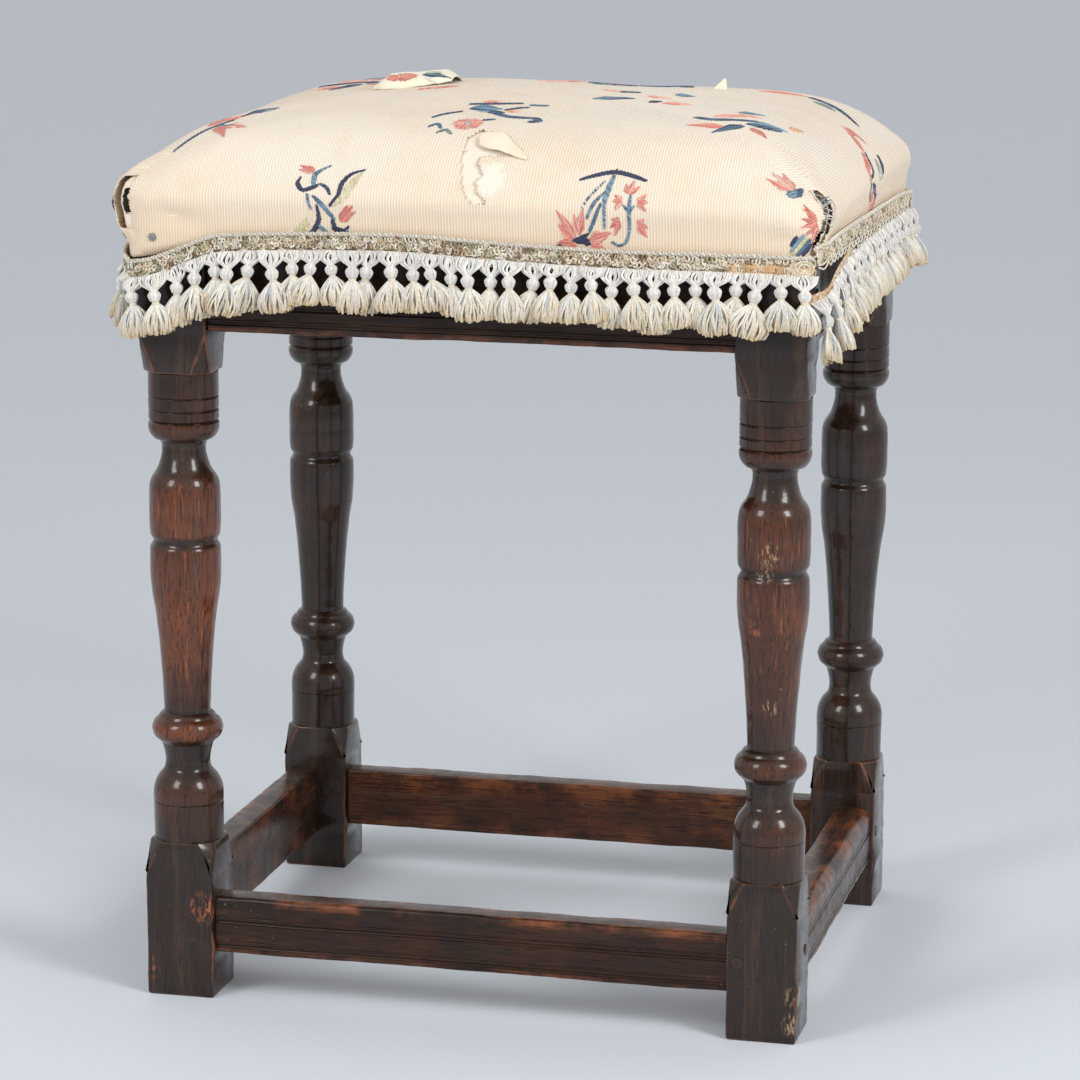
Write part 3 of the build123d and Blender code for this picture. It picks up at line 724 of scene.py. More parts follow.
def press_out(piece):
    """Let the stuffing press the cloth outward between its nailed edge and its top, by cloth simulation."""
    held = piece.vertex_groups.new(name="held")
    for vert in piece.data.vertices:
        held.add([vert.index], 1.0 if vert.co.z / mm < board_top else loosely_held, "REPLACE")
    start = [vert.co.copy() for vert in piece.data.vertices]
    cloth = piece.modifiers.new("cloth", "CLOTH")
    cloth.settings.quality = 6
    cloth.settings.mass = 0.3
    cloth.settings.tension_stiffness = 20
    cloth.settings.compression_stiffness = 8
    cloth.settings.bending_stiffness = 0.6
    cloth.settings.shrink_min = -0.02
    cloth.settings.use_pressure = True
    cloth.settings.uniform_pressure_force = 4
    cloth.settings.vertex_group_mass = "held"
    cloth.settings.effector_weights.gravity = 0
    cloth.collision_settings.use_collision = False
    for step in range(1, press_frames + 1):
        bpy.context.scene.frame_set(step)
    shaped = piece.evaluated_get(bpy.context.evaluated_depsgraph_get()).data
    for vert, first, last in zip(piece.data.vertices, start, shaped.vertices):
        shift = last.co - first
        vert.co = first + shift * min(1.0, press_limit * mm / max(shift.length, 1e-9))
    piece.modifiers.clear()
    piece.vertex_groups.clear()
    bpy.context.scene.frame_set(1)


def thicken(piece, thickness, offset=-1.0):
    """Give a cloth its thickness, below its surface or, with an offset of 1, above it."""
    wall = piece.modifiers.new("thickness", "SOLIDIFY")
    wall.thickness = thickness * mm
    wall.offset = offset


def raised_copy(source, name, rise):
    """A copy of a mesh object whose surface is raised along its normals."""
    bm = bmesh.new()
    bm.from_mesh(source.data)
    bm.normal_update()
    for vert in bm.verts:
        vert.co += vert.normal * rise * mm
    return piece_from(bm, name, 180)


def woven_material(name, colour, shade, scale):
    """Plain woven cloth: a colour that wanders to a shade, with a fine relief."""
    material, tree, shader, place = new_material(name)
    patch = spread(tree, mottle(tree, place, 30, 4, 0.6), 0.35, 0.7)
    wandering = blend_colour(tree, patch, colour, shade)
    weave = mottle(tree, place, scale, 2, 0.6)
    finish_shader(tree, shader, wandering, weave, 0.5, 0.3, Roughness=0.9, Sheen_Weight=0.15)
    return material


seat = seat_form("seat_form")
press_out(seat)
stuffing = raised_copy(seat, "curled_hair_stuffing", -stuffing_under_cloths)
stuffing_bm = bmesh.new()
stuffing_bm.from_mesh(stuffing.data)
level_cut = bmesh.ops.bisect_plane(
    stuffing_bm,
    geom=[*stuffing_bm.verts, *stuffing_bm.edges, *stuffing_bm.faces],
    plane_co=(0, 0, (board_top + 0.4) * mm),
    plane_no=(0, 0, -1),
    clear_outer=True,
)
bmesh.ops.edgeloop_fill(stuffing_bm, edges=of_kind(level_cut["geom_cut"], bmesh.types.BMEdge))
stuffing_bm.to_mesh(stuffing.data)
stuffing_bm.free()
stuffing.data.materials.append(woven_material("curled hair", hair_brown, hair_tan, 400))
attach(stuffing, "root")
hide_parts("seat_stuffing")


# ---- White under-cover -------------------------------------------------------------------------------
# Plain cotton pulled over the stuffing and nailed with the cover. It shows where the cover has torn, and
# has split with the cover at both front corners.
undercover_under_cover = 1.9
cotton_thickness = 0.5
cotton_white = (0.85, 0.765, 0.65)
cotton_cream = (0.82, 0.70, 0.56)
hem_droop = 11.0  # how far the hem has slipped down at the left front corner
hem_droop_reach = 42.0
hem_droop_corner = (-244.0, -204.0)
hem_height = 542.0
hem_fade = 24.0  # height above the hem over which the droop dies away
split_reach = 60.0  # how far from a split's middle its torn edge runs
lip_width = 7.0  # how far back from a split its front lip has lifted
puff_width = 19.0  # how far back from a split its side lip has puffed out
puff_bottom = 540.0
puff_fade = 12.0

# Down each split seam at a front corner: its place, and half the width that it gapes.
right_split = [
    (230, -172, 591, 0.3),
    (238.5, -178, 584, 4.0),
    (243.5, -180.5, 577, 6.4),
    (244, -184, 570, 6.2),
    (242, -189.5, 563, 4.4),
    (239.5, -194.5, 556, 3.0),
    (237.5, -197.5, 547, 1.5),
    (236.5, -198.5, 536, 1.3),
]
left_split = [
    (-229, -185, 592, 0.3),
    (-234, -190, 587, 1.8),
    (-238, -194, 582, 2.6),
    (-240, -196, 572, 2.6),
    (-238, -199, 560, 3.0),
    (-237, -200, 548, 3.0),
    (-237, -200, 528, 2.4),
]


def nearest_on(place, line):
    """Nearest point of a line of points: its distance, its place, and how far down the line it is."""
    best = (1e9, line[0], 0.0)
    for index, (start, end) in enumerate(zip(line, line[1:])):
        step = end.xyz - start.xyz
        share = min(1.0, max(0.0, (place - start.xyz).dot(step) / step.length_squared))
        found = start.lerp(end, share)
        distance = (place - found.xyz).length
        if distance < best[0]:
            best = (distance, found, (index + share) / (len(line) - 1))
    return best


def cut_finer(bm, wanted, cuts):
    """Divide the edges of the faces that are wanted, so that a torn edge can follow them."""
    faces = [face for face in bm.faces if wanted(face.calc_center_median() / mm)]
    edges = dict.fromkeys(edge for face in faces for edge in face.edges)
    bmesh.ops.subdivide_edges(bm, edges=list(edges), cuts=cuts, use_grid_fill=True)


def open_split(bm, rows, extra, lift, puff):
    """Open a split seam in a cloth: its front lip is lifted and its side lip has puffed out sideways."""
    line = [Vector(row) for row in rows]
    low, high = min(row[2] for row in rows), max(row[2] for row in rows)
    middle = line[len(line) // 2].xyz
    cut_finer(bm, lambda place: nearest_on(place, line)[0] < 5, 2)
    gone = []
    for face in bm.faces:
        place = face.calc_center_median() / mm
        if (place - middle).length < split_reach:
            distance, found, _ = nearest_on(place, line)
            ragged = 0.5 * noise.noise(place * 0.9)
            if distance < found.w + extra + ragged and low < place.z < high:
                gone.append(face)
    bmesh.ops.delete(bm, geom=gone, context="FACES")
    bm.normal_update()
    for vert in bm.verts:
        place = vert.co / mm
        if (place - middle).length < split_reach + 10:
            distance, found, down = nearest_on(place, line)
            toward_front = (found.x - place.x) * math.copysign(1, found.x) + found.y - place.y > 0
            if toward_front:
                gape = math.sin(math.pi * min(1, 0.1 + down * 0.9)) ** 0.5
                vert.co += vert.normal * lift * math.exp(-((distance / lip_width) ** 2)) * gape * mm
            else:
                risen = min(1.0, max(0.0, (place.z - puff_bottom) / puff_fade))
                fade = math.exp(-((distance / puff_width) ** 2)) * risen
                vert.co.x += math.copysign(puff, found.x) * fade * mm


def sagged_cloth(name, drop):
    """A cloth copied from the seat's form, a little below the cover, with its hem slipped at the corner."""
    cloth = raised_copy(seat, name, -drop)
    for vert in cloth.data.vertices:
        away = (vert.co.xy / mm - Vector(hem_droop_corner)).length / hem_droop_reach
        low_down = max(0.0, 1 - (vert.co.z / mm - hem_height) / hem_fade)
        vert.co.z -= hem_droop * math.exp(-(away**2)) * low_down * mm
        vert.co.z -= (1.2 * noise.noise(vert.co * 60) + 0.6) * low_down * mm
    return cloth


undercover = sagged_cloth("white_cotton_undercover", undercover_under_cover)
undercover_bm = bmesh.new()
undercover_bm.from_mesh(undercover.data)
open_split(undercover_bm, right_split, 1.0, 0.0, 0.0)
open_split(undercover_bm, left_split, 0.8, 0.0, 5.0)
undercover_bm.to_mesh(undercover.data)
undercover_bm.free()
thicken(undercover, cotton_thickness, 1.0)
undercover.data.materials.append(woven_material("white cotton", cotton_white, cotton_cream, 900))
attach(undercover, "root")
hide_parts("white_undercover")


# ---- Embroidered cover -------------------------------------------------------------------------------
# Fine ribbed cloth, its ribs running from front to back and so down the front. It has faded to cream, is
# browner towards the trim, and is torn open in front of the middle and split at both front corners.
cover_thickness = 0.9
rib_pitch = 2.05
worn_patch_middle = (17.0, -204.0)  # bare of its ribs, beside the tear
worn_patch_reach = (11.0, 17.0)
rib_cream = (0.87, 0.80, 0.68)
aged_cream = (0.84, 0.72, 0.57)
stain_brown = (0.80, 0.64, 0.47)
trim_brown = (0.80, 0.64, 0.46)
# painted shade between the ribs:
painted_groove_shade = (0.62, 0.44, 0.30)
bare_cream = (0.88, 0.82, 0.72)
browning_top = 0.600  # in metres: the cloth begins to brown towards the trim here, and is fully browned at browning_bottom
browning_bottom = 0.548
tear_middle = Vector((10, -190))  # on the flat cloth
tear_reach = 50.0

# Round the torn hole, on the flat cloth, across and up from the middle of the seat.
tear_outline = [
    (-4, -157), (1, -152), (8, -154), (16, -162), (34, -181), (24, -183), (14, -184), (6, -186), (5, -190),
    (8, -196), (11, -201), (8, -207), (10, -217), (17, -223), (7, -225), (0, -218), (-4, -205), (-7, -189),
    (-8, -169),
]

# Creases in the cover: both ends, how wide they are and how far they stand up or, below zero, sink.
cover_creases = [
    ((-236, -199, 574), (-176, -206, 566), 5.0, 1.6),
    ((-236, -199, 566), (-186, -205, 559), 4.0, -1.8),
    ((-238, -198, 556), (-196, -203, 552), 4.0, 1.4),
    ((-232, -198, 586), (-206, -204, 582), 5.0, -1.4),
    ((-247, -160, 560), (-246, -110, 566), 6.0, -1.6),
    ((-247, -170, 572), (-247, -120, 580), 6.0, 1.4),
    ((206, -206, 571), (238, -196, 566), 4.5, 1.8),
    ((204, -206, 563), (236, -198, 557), 3.5, -1.8),
    ((212, -202, 586), (236, -186, 588), 6.0, 1.6),
    ((246, -150, 556), (247, -60, 565), 7.0, -1.4),
    ((246, -130, 566), (247, -40, 577), 7.0, 1.2),
    ((-130, -206, 562), (-60, -206, 559), 5.0, 1.0),
    ((40, -206, 561), (120, -206, 563), 6.0, 0.9),
]


def cover_material():
    """Ribbed cloth, cream on the ribs with painted shade between them, warm stains, and browner towards the
    trim.
    """
    material, tree, shader, place = new_material("faded ribbed cloth")
    flat = add_node(tree, "ShaderNodeUVMap", {"uv_map": "cloth"}).outputs[0]
    parts = add_node(tree, "ShaderNodeSeparateXYZ", Vector=flat).outputs
    waver = calculate(tree, "MULTIPLY_ADD", mottle(tree, flat, 45, 3, 0.6), 1.6 * mm, -0.8 * mm)
    wavering = calculate(tree, "ADD", parts[0], waver)
    turns = calculate(tree, "MULTIPLY", wavering, math.tau / (rib_pitch * mm))
    rib = calculate(tree, "MULTIPLY_ADD", calculate(tree, "SINE", turns), 0.5, 0.5)
    offset = [
        calculate(tree, "DIVIDE", calculate(tree, "SUBTRACT", part, centre * mm), reach * mm)
        for part, centre, reach in zip(parts, worn_patch_middle, worn_patch_reach)
    ]
    round_patch = calculate(tree, "ADD", *[calculate(tree, "MULTIPLY", part, part) for part in offset])
    raggedness = calculate(tree, "MULTIPLY", mottle(tree, flat, 200, 4, 0.7), 3.0)
    bare = spread(tree, calculate(tree, "ADD", round_patch, raggedness), 2.5, 2.0)
    height = add_node(tree, "ShaderNodeSeparateXYZ", Vector=place).outputs[2]
    low_down = spread(tree, height, browning_top, browning_bottom)
    stain = spread(tree, mottle(tree, place, 7, 4, 0.6, 0.4), 0.40, 0.68)
    small_stain = spread(tree, mottle(tree, place, 34, 3, 0.55), 0.55, 0.75)
    # Painted shade: the cloth is darkened towards brown between the ribs.
    groove = calculate(tree, "SUBTRACT", 1.0, rib)
    colour = blend_colour(tree, stain, rib_cream, aged_cream)
    for mask, strength, tint in (
        (small_stain, 0.35, stain_brown),
        (low_down, 0.75, trim_brown),
        (groove, 0.42, painted_groove_shade),
        (bare, 0.5, bare_cream),
    ):
        colour = blend_colour(tree, calculate(tree, "MULTIPLY", mask, strength), colour, tint)
    left_ribs = calculate(tree, "MULTIPLY", rib, calculate(tree, "MULTIPLY_ADD", bare, -0.8, 1.0))
    thread = calculate(tree, "MULTIPLY", mottle(tree, flat, 1500, 1, 0.5), 0.35)
    relief = calculate(tree, "ADD", left_ribs, thread)
    finish_shader(tree, shader, colour, relief, 0.6, 0.5, Roughness=0.85, Sheen_Weight=0.1)
    return material


def inside(point, outline):
    """Whether a point lies inside a closed outline."""
    within = False
    for (x1, y1), (x2, y2) in zip(outline, outline[1:] + outline[:1]):
        if (y1 > point[1]) != (y2 > point[1]) and point[0] < x1 + (point[1] - y1) / (y2 - y1) * (x2 - x1):
            within = not within
    return within


def flat_place(face, cloth):
    """Middle of a face on the flat cloth."""
    return sum((loop[cloth].uv for loop in face.loops), Vector((0, 0))) / len(face.loops) / mm


def tear_open(bm):
    """Take away the cloth that is missing from the tear, and ruck up the edges that are left."""
    cloth = bm.loops.layers.uv["cloth"]
    near = [face for face in bm.faces if (flat_place(face, cloth) - tear_middle).length < tear_reach + 2]
    edges = dict.fromkeys(edge for face in near for edge in face.edges)
    bmesh.ops.subdivide_edges(bm, edges=list(edges), cuts=2, use_grid_fill=True)
    gone = []
    for face in bm.faces:
        flat = flat_place(face, cloth)
        ragged = noise.noise_vector(flat.to_3d() * 0.6).xy * 1.2
        if (flat - tear_middle).length < tear_reach and inside(flat + ragged, tear_outline):
            gone.append(face)
    bmesh.ops.delete(bm, geom=gone, context="FACES")
    bm.normal_update()
    for vert in [vert for vert in bm.verts if vert.is_boundary and vert.co.z / mm > 570]:
        vert.co += vert.normal * (0.5 + 0.9 * noise.noise(vert.co * 150)) * mm


def crease(bm):
    """Work the creases into the cover."""
    bm.normal_update()
    for start, end, width, rise in cover_creases:
        line = [Vector((*start, 0)), Vector((*end, 0))]
        middle, reach = (line[0].xyz + line[1].xyz) / 2, (line[1] - line[0]).length / 2 + 3 * width
        for vert in bm.verts:
            place = vert.co / mm
            if (place - middle).length < reach:
                distance, _, share = nearest_on(place, line)
                fade = math.exp(-((distance / width) ** 2)) * (0.35 + 0.65 * math.sin(math.pi * share))
                vert.co += vert.normal * rise * fade * mm


cover = sagged_cloth("ribbed_cloth_cover", 0.0)
cover_bm = bmesh.new()
cover_bm.from_mesh(cover.data)
crease(cover_bm)
open_split(cover_bm, right_split, 0.0, 0.3, 2.2)
open_split(cover_bm, left_split, 0.0, 1.2, 10.0)
cover_surface = BVHTree.FromBMesh(cover_bm)
tear_open(cover_bm)
cover_bm.to_mesh(cover.data)
cover_bm.free()
thicken(cover, cover_thickness)
cover.data.materials.append(cover_material())
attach(cover, "root")
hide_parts("embroidered_cover")
bpy.data.objects.remove(seat)


# ---- Torn flaps --------------------------------------------------------------------------------------
# Tongues of the cover that have torn free and curled up off the seat: one over the tear, one folded back
# on itself near the back, and one small tip that stands up.
flap_thickness = 0.6
cloth_back_cream = (0.86, 0.76, 0.61)
cloth_back_brown = (0.82, 0.66, 0.48)
rolled_straw = (0.86, 0.82, 0.60)
rolled_cream = (0.86, 0.79, 0.66)


def make_flap(name, hinge, free_edge, bulge, material):
    """A tongue of cloth between its hinge and its free edge, whose points are across, back and lift."""
    lines = [smooth_line([Vector(point) for point in edge], 8) for edge in (hinge, free_edge)]
    bm = bmesh.new()
    bmesh.ops.create_grid(bm, x_segments=36, y_segments=14, size=1)
    cloth = bm.loops.layers.uv.new("cloth")
    for vert in bm.verts:
        along, out = (vert.co.x + 1) / 2, (vert.co.y + 1) / 2
        spots = []
        for line in lines:
            index = min(int(along * (len(line) - 1)), len(line) - 2)
            spots.append(line[index].lerp(line[index + 1], along * (len(line) - 1) - index))
        spot = spots[0].lerp(spots[1], out)
        low = cover_surface.ray_cast(Vector((spot.x, spot.y, 700)) * mm, Vector((0, 0, -1)))[0]
        taper = min(1.0, 0.35 + 3.5 * min(along, 1 - along))
        arch = bulge * taper * math.sin(math.pi * out) ** 0.5 + 0.7 * noise.noise(spot * 0.12)
        vert.co = low + Vector((0, 0, spot.z + arch)) * mm
    for face in bm.faces:
        for loop in face.loops:
            loop[cloth].uv = loop.vert.co.xy
    flap = piece_from(bm, name, 60)
    thicken(flap, flap_thickness)
    flap.data.materials.append(material)
    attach(flap, "root")
    return flap


flap_back = woven_material("back of the ribbed cloth", cloth_back_cream, cloth_back_brown, 700)
rolled_edge = woven_material("rolled edge of the ribbed cloth", rolled_straw, rolled_cream, 700)
tear_flap = make_flap(
    "tear_flap",
    [(1, -161, 0.8), (6, -155, 1.0), (18, -157, 1.4), (26, -167, 1.0), (39, -179, 0.4)],
    [(3, -169, 0.4), (9, -173, 1.4), (18, -176, 2.2), (28, -179, 1.6), (39, -181, 0.4)],
    0.6,
    flap_back,
)
folded_flap = make_flap(
    "folded_flap",
    [(-114, 26, 0.2), (-104, 36, 0.2), (-86, 40, 0.2), (-70, 36, 0.2), (-60, 26, 0.2)],
    [(-116, -14, 0.2), (-104, -20, 0.2), (-86, -20, 0.2), (-70, -17, 0.8), (-58, -10, 2.0)],
    8.5,
    rolled_edge,
)
standing_tip = make_flap(
    "standing_tip",
    [(113, 90, 0.0), (118, 91, 0.0), (123, 92, 0.0)],
    [(120, 94, 7.0), (121, 94, 8.0), (122, 94, 7.0)],
    0.6,
    flap_back,
)


# ---- Embroidery --------------------------------------------------------------------------------------
# Silk crewel sprigs in coral, navy and blues, scattered over the cover and worn away in places. Each
# stitch is a thread that dips into the cloth at both ends.
cord_sides = 4
stitch_radius = 0.42
stitch_spacing = 0.66
stitch_lift = 0.42
fray_radius = 0.22
needle_reach = 60.0  # how far off the cover a stitch is aimed from
silk_shade = (0.76, 0.72, 0.67)
least_step = 0.03  # points of a cord that lie closer than this are one point
thread_colours = {
    "cream": (0.82, 0.75, 0.61),
    "pale": (0.86, 0.83, 0.76),
    "straw": (0.64, 0.54, 0.38),
    "brown": (0.30, 0.20, 0.12),
    "green": (0.38, 0.40, 0.26),
    "rose": (0.62, 0.38, 0.32),
    "lilac": (0.80, 0.785, 0.765),
    "blue": (0.50, 0.58, 0.64),
    "ochre": (0.60, 0.44, 0.24),
    "peach": (0.80, 0.46, 0.22),
    "coral": (0.74, 0.245, 0.20),
    "pink": (0.84, 0.46, 0.38),
    "navy": (0.030, 0.045, 0.105),
    "slate": (0.09, 0.17, 0.27),
    "sky": (0.24, 0.38, 0.48),
    "sage": (0.27, 0.36, 0.30),
    "lime": (0.74, 0.70, 0.42),
    "white": (0.90, 0.87, 0.80),
}


class Cords:
    """Cords of round thread, gathered one by one and then made into a single mesh."""

    def __init__(self):
        self.curve = bpy.data.curves.new("cords", "CURVE")
        self.curve.dimensions = "3D"
        self.curve.bevel_depth = mm
        self.curve.bevel_resolution = 0
        self.tints = []

    def add(self, points, radius, tint, end_radius=None, end_tint=None):
        """One cord through points in metres, which may thin and change tint towards its end.

        A curve drops points that lie on each other, so they are left out here, before they get a tint."""
        pairs = zip(points, points[1:])
        points = points[:1] + [point for last, point in pairs if (point - last).length > least_step * mm]
        if len(points) < 2:
            return
        spline = self.curve.splines.new("POLY")
        spline.points.add(len(points) - 1)
        for index, (point, knot) in enumerate(zip(points, spline.points)):
            share = index / (len(points) - 1)
            knot.co = (*point, 1.0)
            knot.radius = radius + share * ((end_radius or radius) - radius)
            mixed = Vector(tint).lerp(Vector(end_tint or tint), share**2)
            self.tints += [(*mixed, 1.0)] * cord_sides

    def add_to(self, bm):
        """Add all the cords to a mesh, each point of a cord with its tint, and close their ends."""
        holder = bpy.data.objects.new("cords", self.curve)
        bpy.context.scene.collection.objects.link(holder)
        mesh = bpy.data.meshes.new_from_object(holder.evaluated_get(bpy.context.evaluated_depsgraph_get()))
        bpy.data.objects.remove(holder)
        thread = mesh.attributes.new("thread", "FLOAT_COLOR", "POINT")
        thread.data.foreach_set("color", [part for tint in self.tints for part in tint])
        bm.from_mesh(mesh)
        bpy.data.meshes.remove(mesh)
        open_ends = [edge for edge in bm.edges if edge.is_boundary]
        bmesh.ops.holes_fill(bm, edges=open_ends, sides=cord_sides)


def varied(chance, *names):
    """One of the named thread colours, a little lighter or darker than its fellows."""
    shade = chance.uniform(0.82, 1.12)
    return tuple(part * shade for part in thread_colours[chance.choice(names)])


class Needle:
    """Sews one motif on the cover, with places across and up from its middle."""

    def __init__(self, cords, middle, right, up, chance, bold, surface):
        self.cords = cords
        self.middle = Vector(middle)
        self.right = Vector(right).normalized()
        self.up = Vector(up).normalized()
        self.chance = chance
        self.bold = bold
        self.surface = surface

    def place(self, spot, lift):
        """The point of the cover under a spot of the motif, raised by lift."""
        spot = (self.middle + self.right * spot[0] + self.up * spot[1]) * mm
        facing = self.right.cross(self.up).normalized()
        reach = needle_reach * mm
        found, normal, _, _ = self.surface.ray_cast(spot + facing * reach, -facing, 2 * reach)
        if found is None:
            found, normal, _, _ = self.surface.find_nearest(spot)
        return found + normal * lift * mm

    def stitch(self, spots, names):
        """One thread through the given spots, its ends in the cloth."""
        lifts = [0.0] + [stitch_lift] * (len(spots) - 2) + [0.0]
        points = [self.place(spot, lift) for spot, lift in zip(spots, lifts)]
        self.cords.add(points, stitch_radius, varied(self.chance, *names))

    def bar(self, spine, widths, *names):
        """A stem or leaf of short slanted stitches; its width runs through the given widths."""
        line = smooth_line([Vector(spot) for spot in spine], 10)
        length = sum((end - start).length for start, end in zip(line, line[1:]))
        run, following = 0.0, 0.0
        for start, end in zip(line, line[1:]):
            step = end - start
            while following <= run + step.length:
                share = following / length * (len(widths) - 1)
                first = min(int(share), len(widths) - 2)
                width = widths[first] + (share - first) * (widths[first + 1] - widths[first])
                half = max(0.5, width * self.bold * self.chance.uniform(0.38, 0.56))
                ahead = step.normalized()
                across = Vector((-ahead.y, ahead.x)) * half + ahead * half * 0.7
                middle = start + ahead * (following - run)
                spots = [middle - across, middle - across * 0.3, middle + across * 0.3, middle + across]
                self.stitch(spots, names)
                following += stitch_spacing * self.chance.uniform(0.85, 1.15)
            run += step.length

    def petal(self, base, tip, width, *names):
        """A petal of long stitches that fan out from its base and draw in to its tip."""
        base, tip = Vector(base), Vector(tip)
        ahead = (tip - base).normalized()
        across = Vector((-ahead.y, ahead.x))
        threads = max(3, round(width / (stitch_spacing * 0.95)))
        for thread in range(threads):
            side = (thread / (threads - 1) - 0.5) * width
            reach = (tip - base).length * (1 - 1.6 * (side / width) ** 2) * self.chance.uniform(0.86, 1.05)
            start = base + across * side * 0.35 + ahead * reach * self.chance.uniform(0.0, 0.12)
            swell = base + across * side * 0.95 + ahead * reach * 0.5
            near_tip = base + across * side * 0.8 + ahead * reach * 0.8
            end = base + across * side * 0.45 + ahead * reach
            self.stitch([start, swell, near_tip, end], names)

    def flower(self, middle, radius, squash, *names):
        """A round flower of stitches spread from its middle."""
        threads = round(math.tau * radius / (stitch_spacing * 1.3))
        for thread in range(threads):
            turn = math.tau * thread / threads
            reach = radius * self.chance.uniform(0.65, 1.1)
            way = Vector((math.cos(turn), squash * math.sin(turn)))
            spots = [Vector(middle) + way * reach * share for share in (0.15, 0.5, 0.8, 1.0)]
            self.stitch(spots, names)

    def fray(self, low, high, reach):
        """A loose thread that springs out of the cloth's edge in a loop and comes back to it."""
        start, end = self.chance.uniform(low, high), self.chance.uniform(low, high)
        spots = [(0, start), (reach * 0.7, start), (reach, (start + end) / 2), (reach * 0.6, end), (0, end)]
        lifts = [0, 1.2, 1.8, 1.0, 0.2]
        points = smooth_line([self.place(spot, lift) for spot, lift in zip(spots, lifts)], 4)
        self.cords.add(points, fray_radius, varied(self.chance, "white", "white", "pale", "slate"))


def sew_split_fray(needle):
    """White and blue threads, frayed out of both lips of the right split."""
    for height in range(-8, 12, 2):
        needle.fray(height - 3, height + 4, needle.chance.uniform(3.5, 8.0))
    for height in range(0, 12, 2):
        needle.fray(height - 2, height + 3, needle.chance.uniform(-5.0, -2.5))


def thread_material(name, roughness, shade):
    """Spun thread that takes its colour from each thread's own tint, deepened by shade between its fibres."""
    material, tree, shader, place = new_material(name)
    tint = add_node(tree, "ShaderNodeAttribute", {"attribute_name": "thread"}).outputs["Color"]
    fleck = spread(tree, mottle(tree, place, 700, 3, 0.6), 0.35, 0.7)
    deepened = blend_colour(tree, 1.0, tint, shade, "MULTIPLY")
    fibre = mottle(tree, place, 1400, 2, 0.6)
    colour = blend_colour(tree, fleck, deepened, tint)
    finish_shader(tree, shader, colour, fibre, 0.5, 0.25, Roughness=roughness, Sheen_Weight=0.2)
    return material


def sew_front_left(needle):
    """A sprig of buds and curling leaves, its foot under the braid."""
    needle.petal((-9, 20), (-20, 24), 4.5, "coral")
    needle.petal((-10, 19), (-21, 21), 3.5, "coral", "pink")
    needle.bar([(-8, 9), (-8, 17), (-3, 22), (2, 25)], [3.2, 4, 2, 0.4], "sky", "sky", "slate")
    needle.bar([(-18, 15), (-19, 10), (-15, 5), (-8, 7), (-4, 9)], [1, 3.2, 3, 3.4, 2], "navy")
    needle.bar([(-3, 10), (2, 7), (5, 2)], [1.6, 2.6, 1.6], "navy", "navy", "slate")
    needle.bar([(25, 20), (20, 11), (14, 1), (7, -5)], [0.6, 6.5, 6.5, 1.5], "lime", "cream")
    needle.bar([(26, 22), (17, 18), (12, 10), (11, 2), (5, -5)], [0.8, 2.4, 3.4, 3.2, 1.4], "navy")
    needle.bar([(-11, 2), (-10, -3), (-8, -8)], [1.6, 1.8, 1], "slate", "sky")
    needle.bar([(-7, 1), (-1, -4), (5, -10), (8, -13)], [1.4, 3, 2.8, 2], "sky", "slate")
    needle.bar([(-4, -5), (-3, -13), (-6, -19), (-13, -25)], [1.6, 3.4, 3.6, 1.6], "navy")
    needle.bar([(-9, -12), (-15, -19), (-27, -23)], [3, 7, 1.5], "lime", "cream")
    for tip in ((22, -4), (18, -4), (23, -8)):
        needle.petal((12, -14), tip, 4.6, "coral", "coral", "pink")
    needle.bar([(7, -12), (8, -18), (14, -20), (18, -17)], [2, 4, 3.4, 1], "navy")
    needle.bar([(-3, -17), (2, -21), (6, -25)], [2.4, 2.6, 2], "sky")
    needle.bar([(16, -19), (20, -25)], [1.8, 2], "sky", "slate")
    needle.bar([(30, -25), (38, -22.5), (46, -25)], [1.5, 3.4, 1.5], "navy")


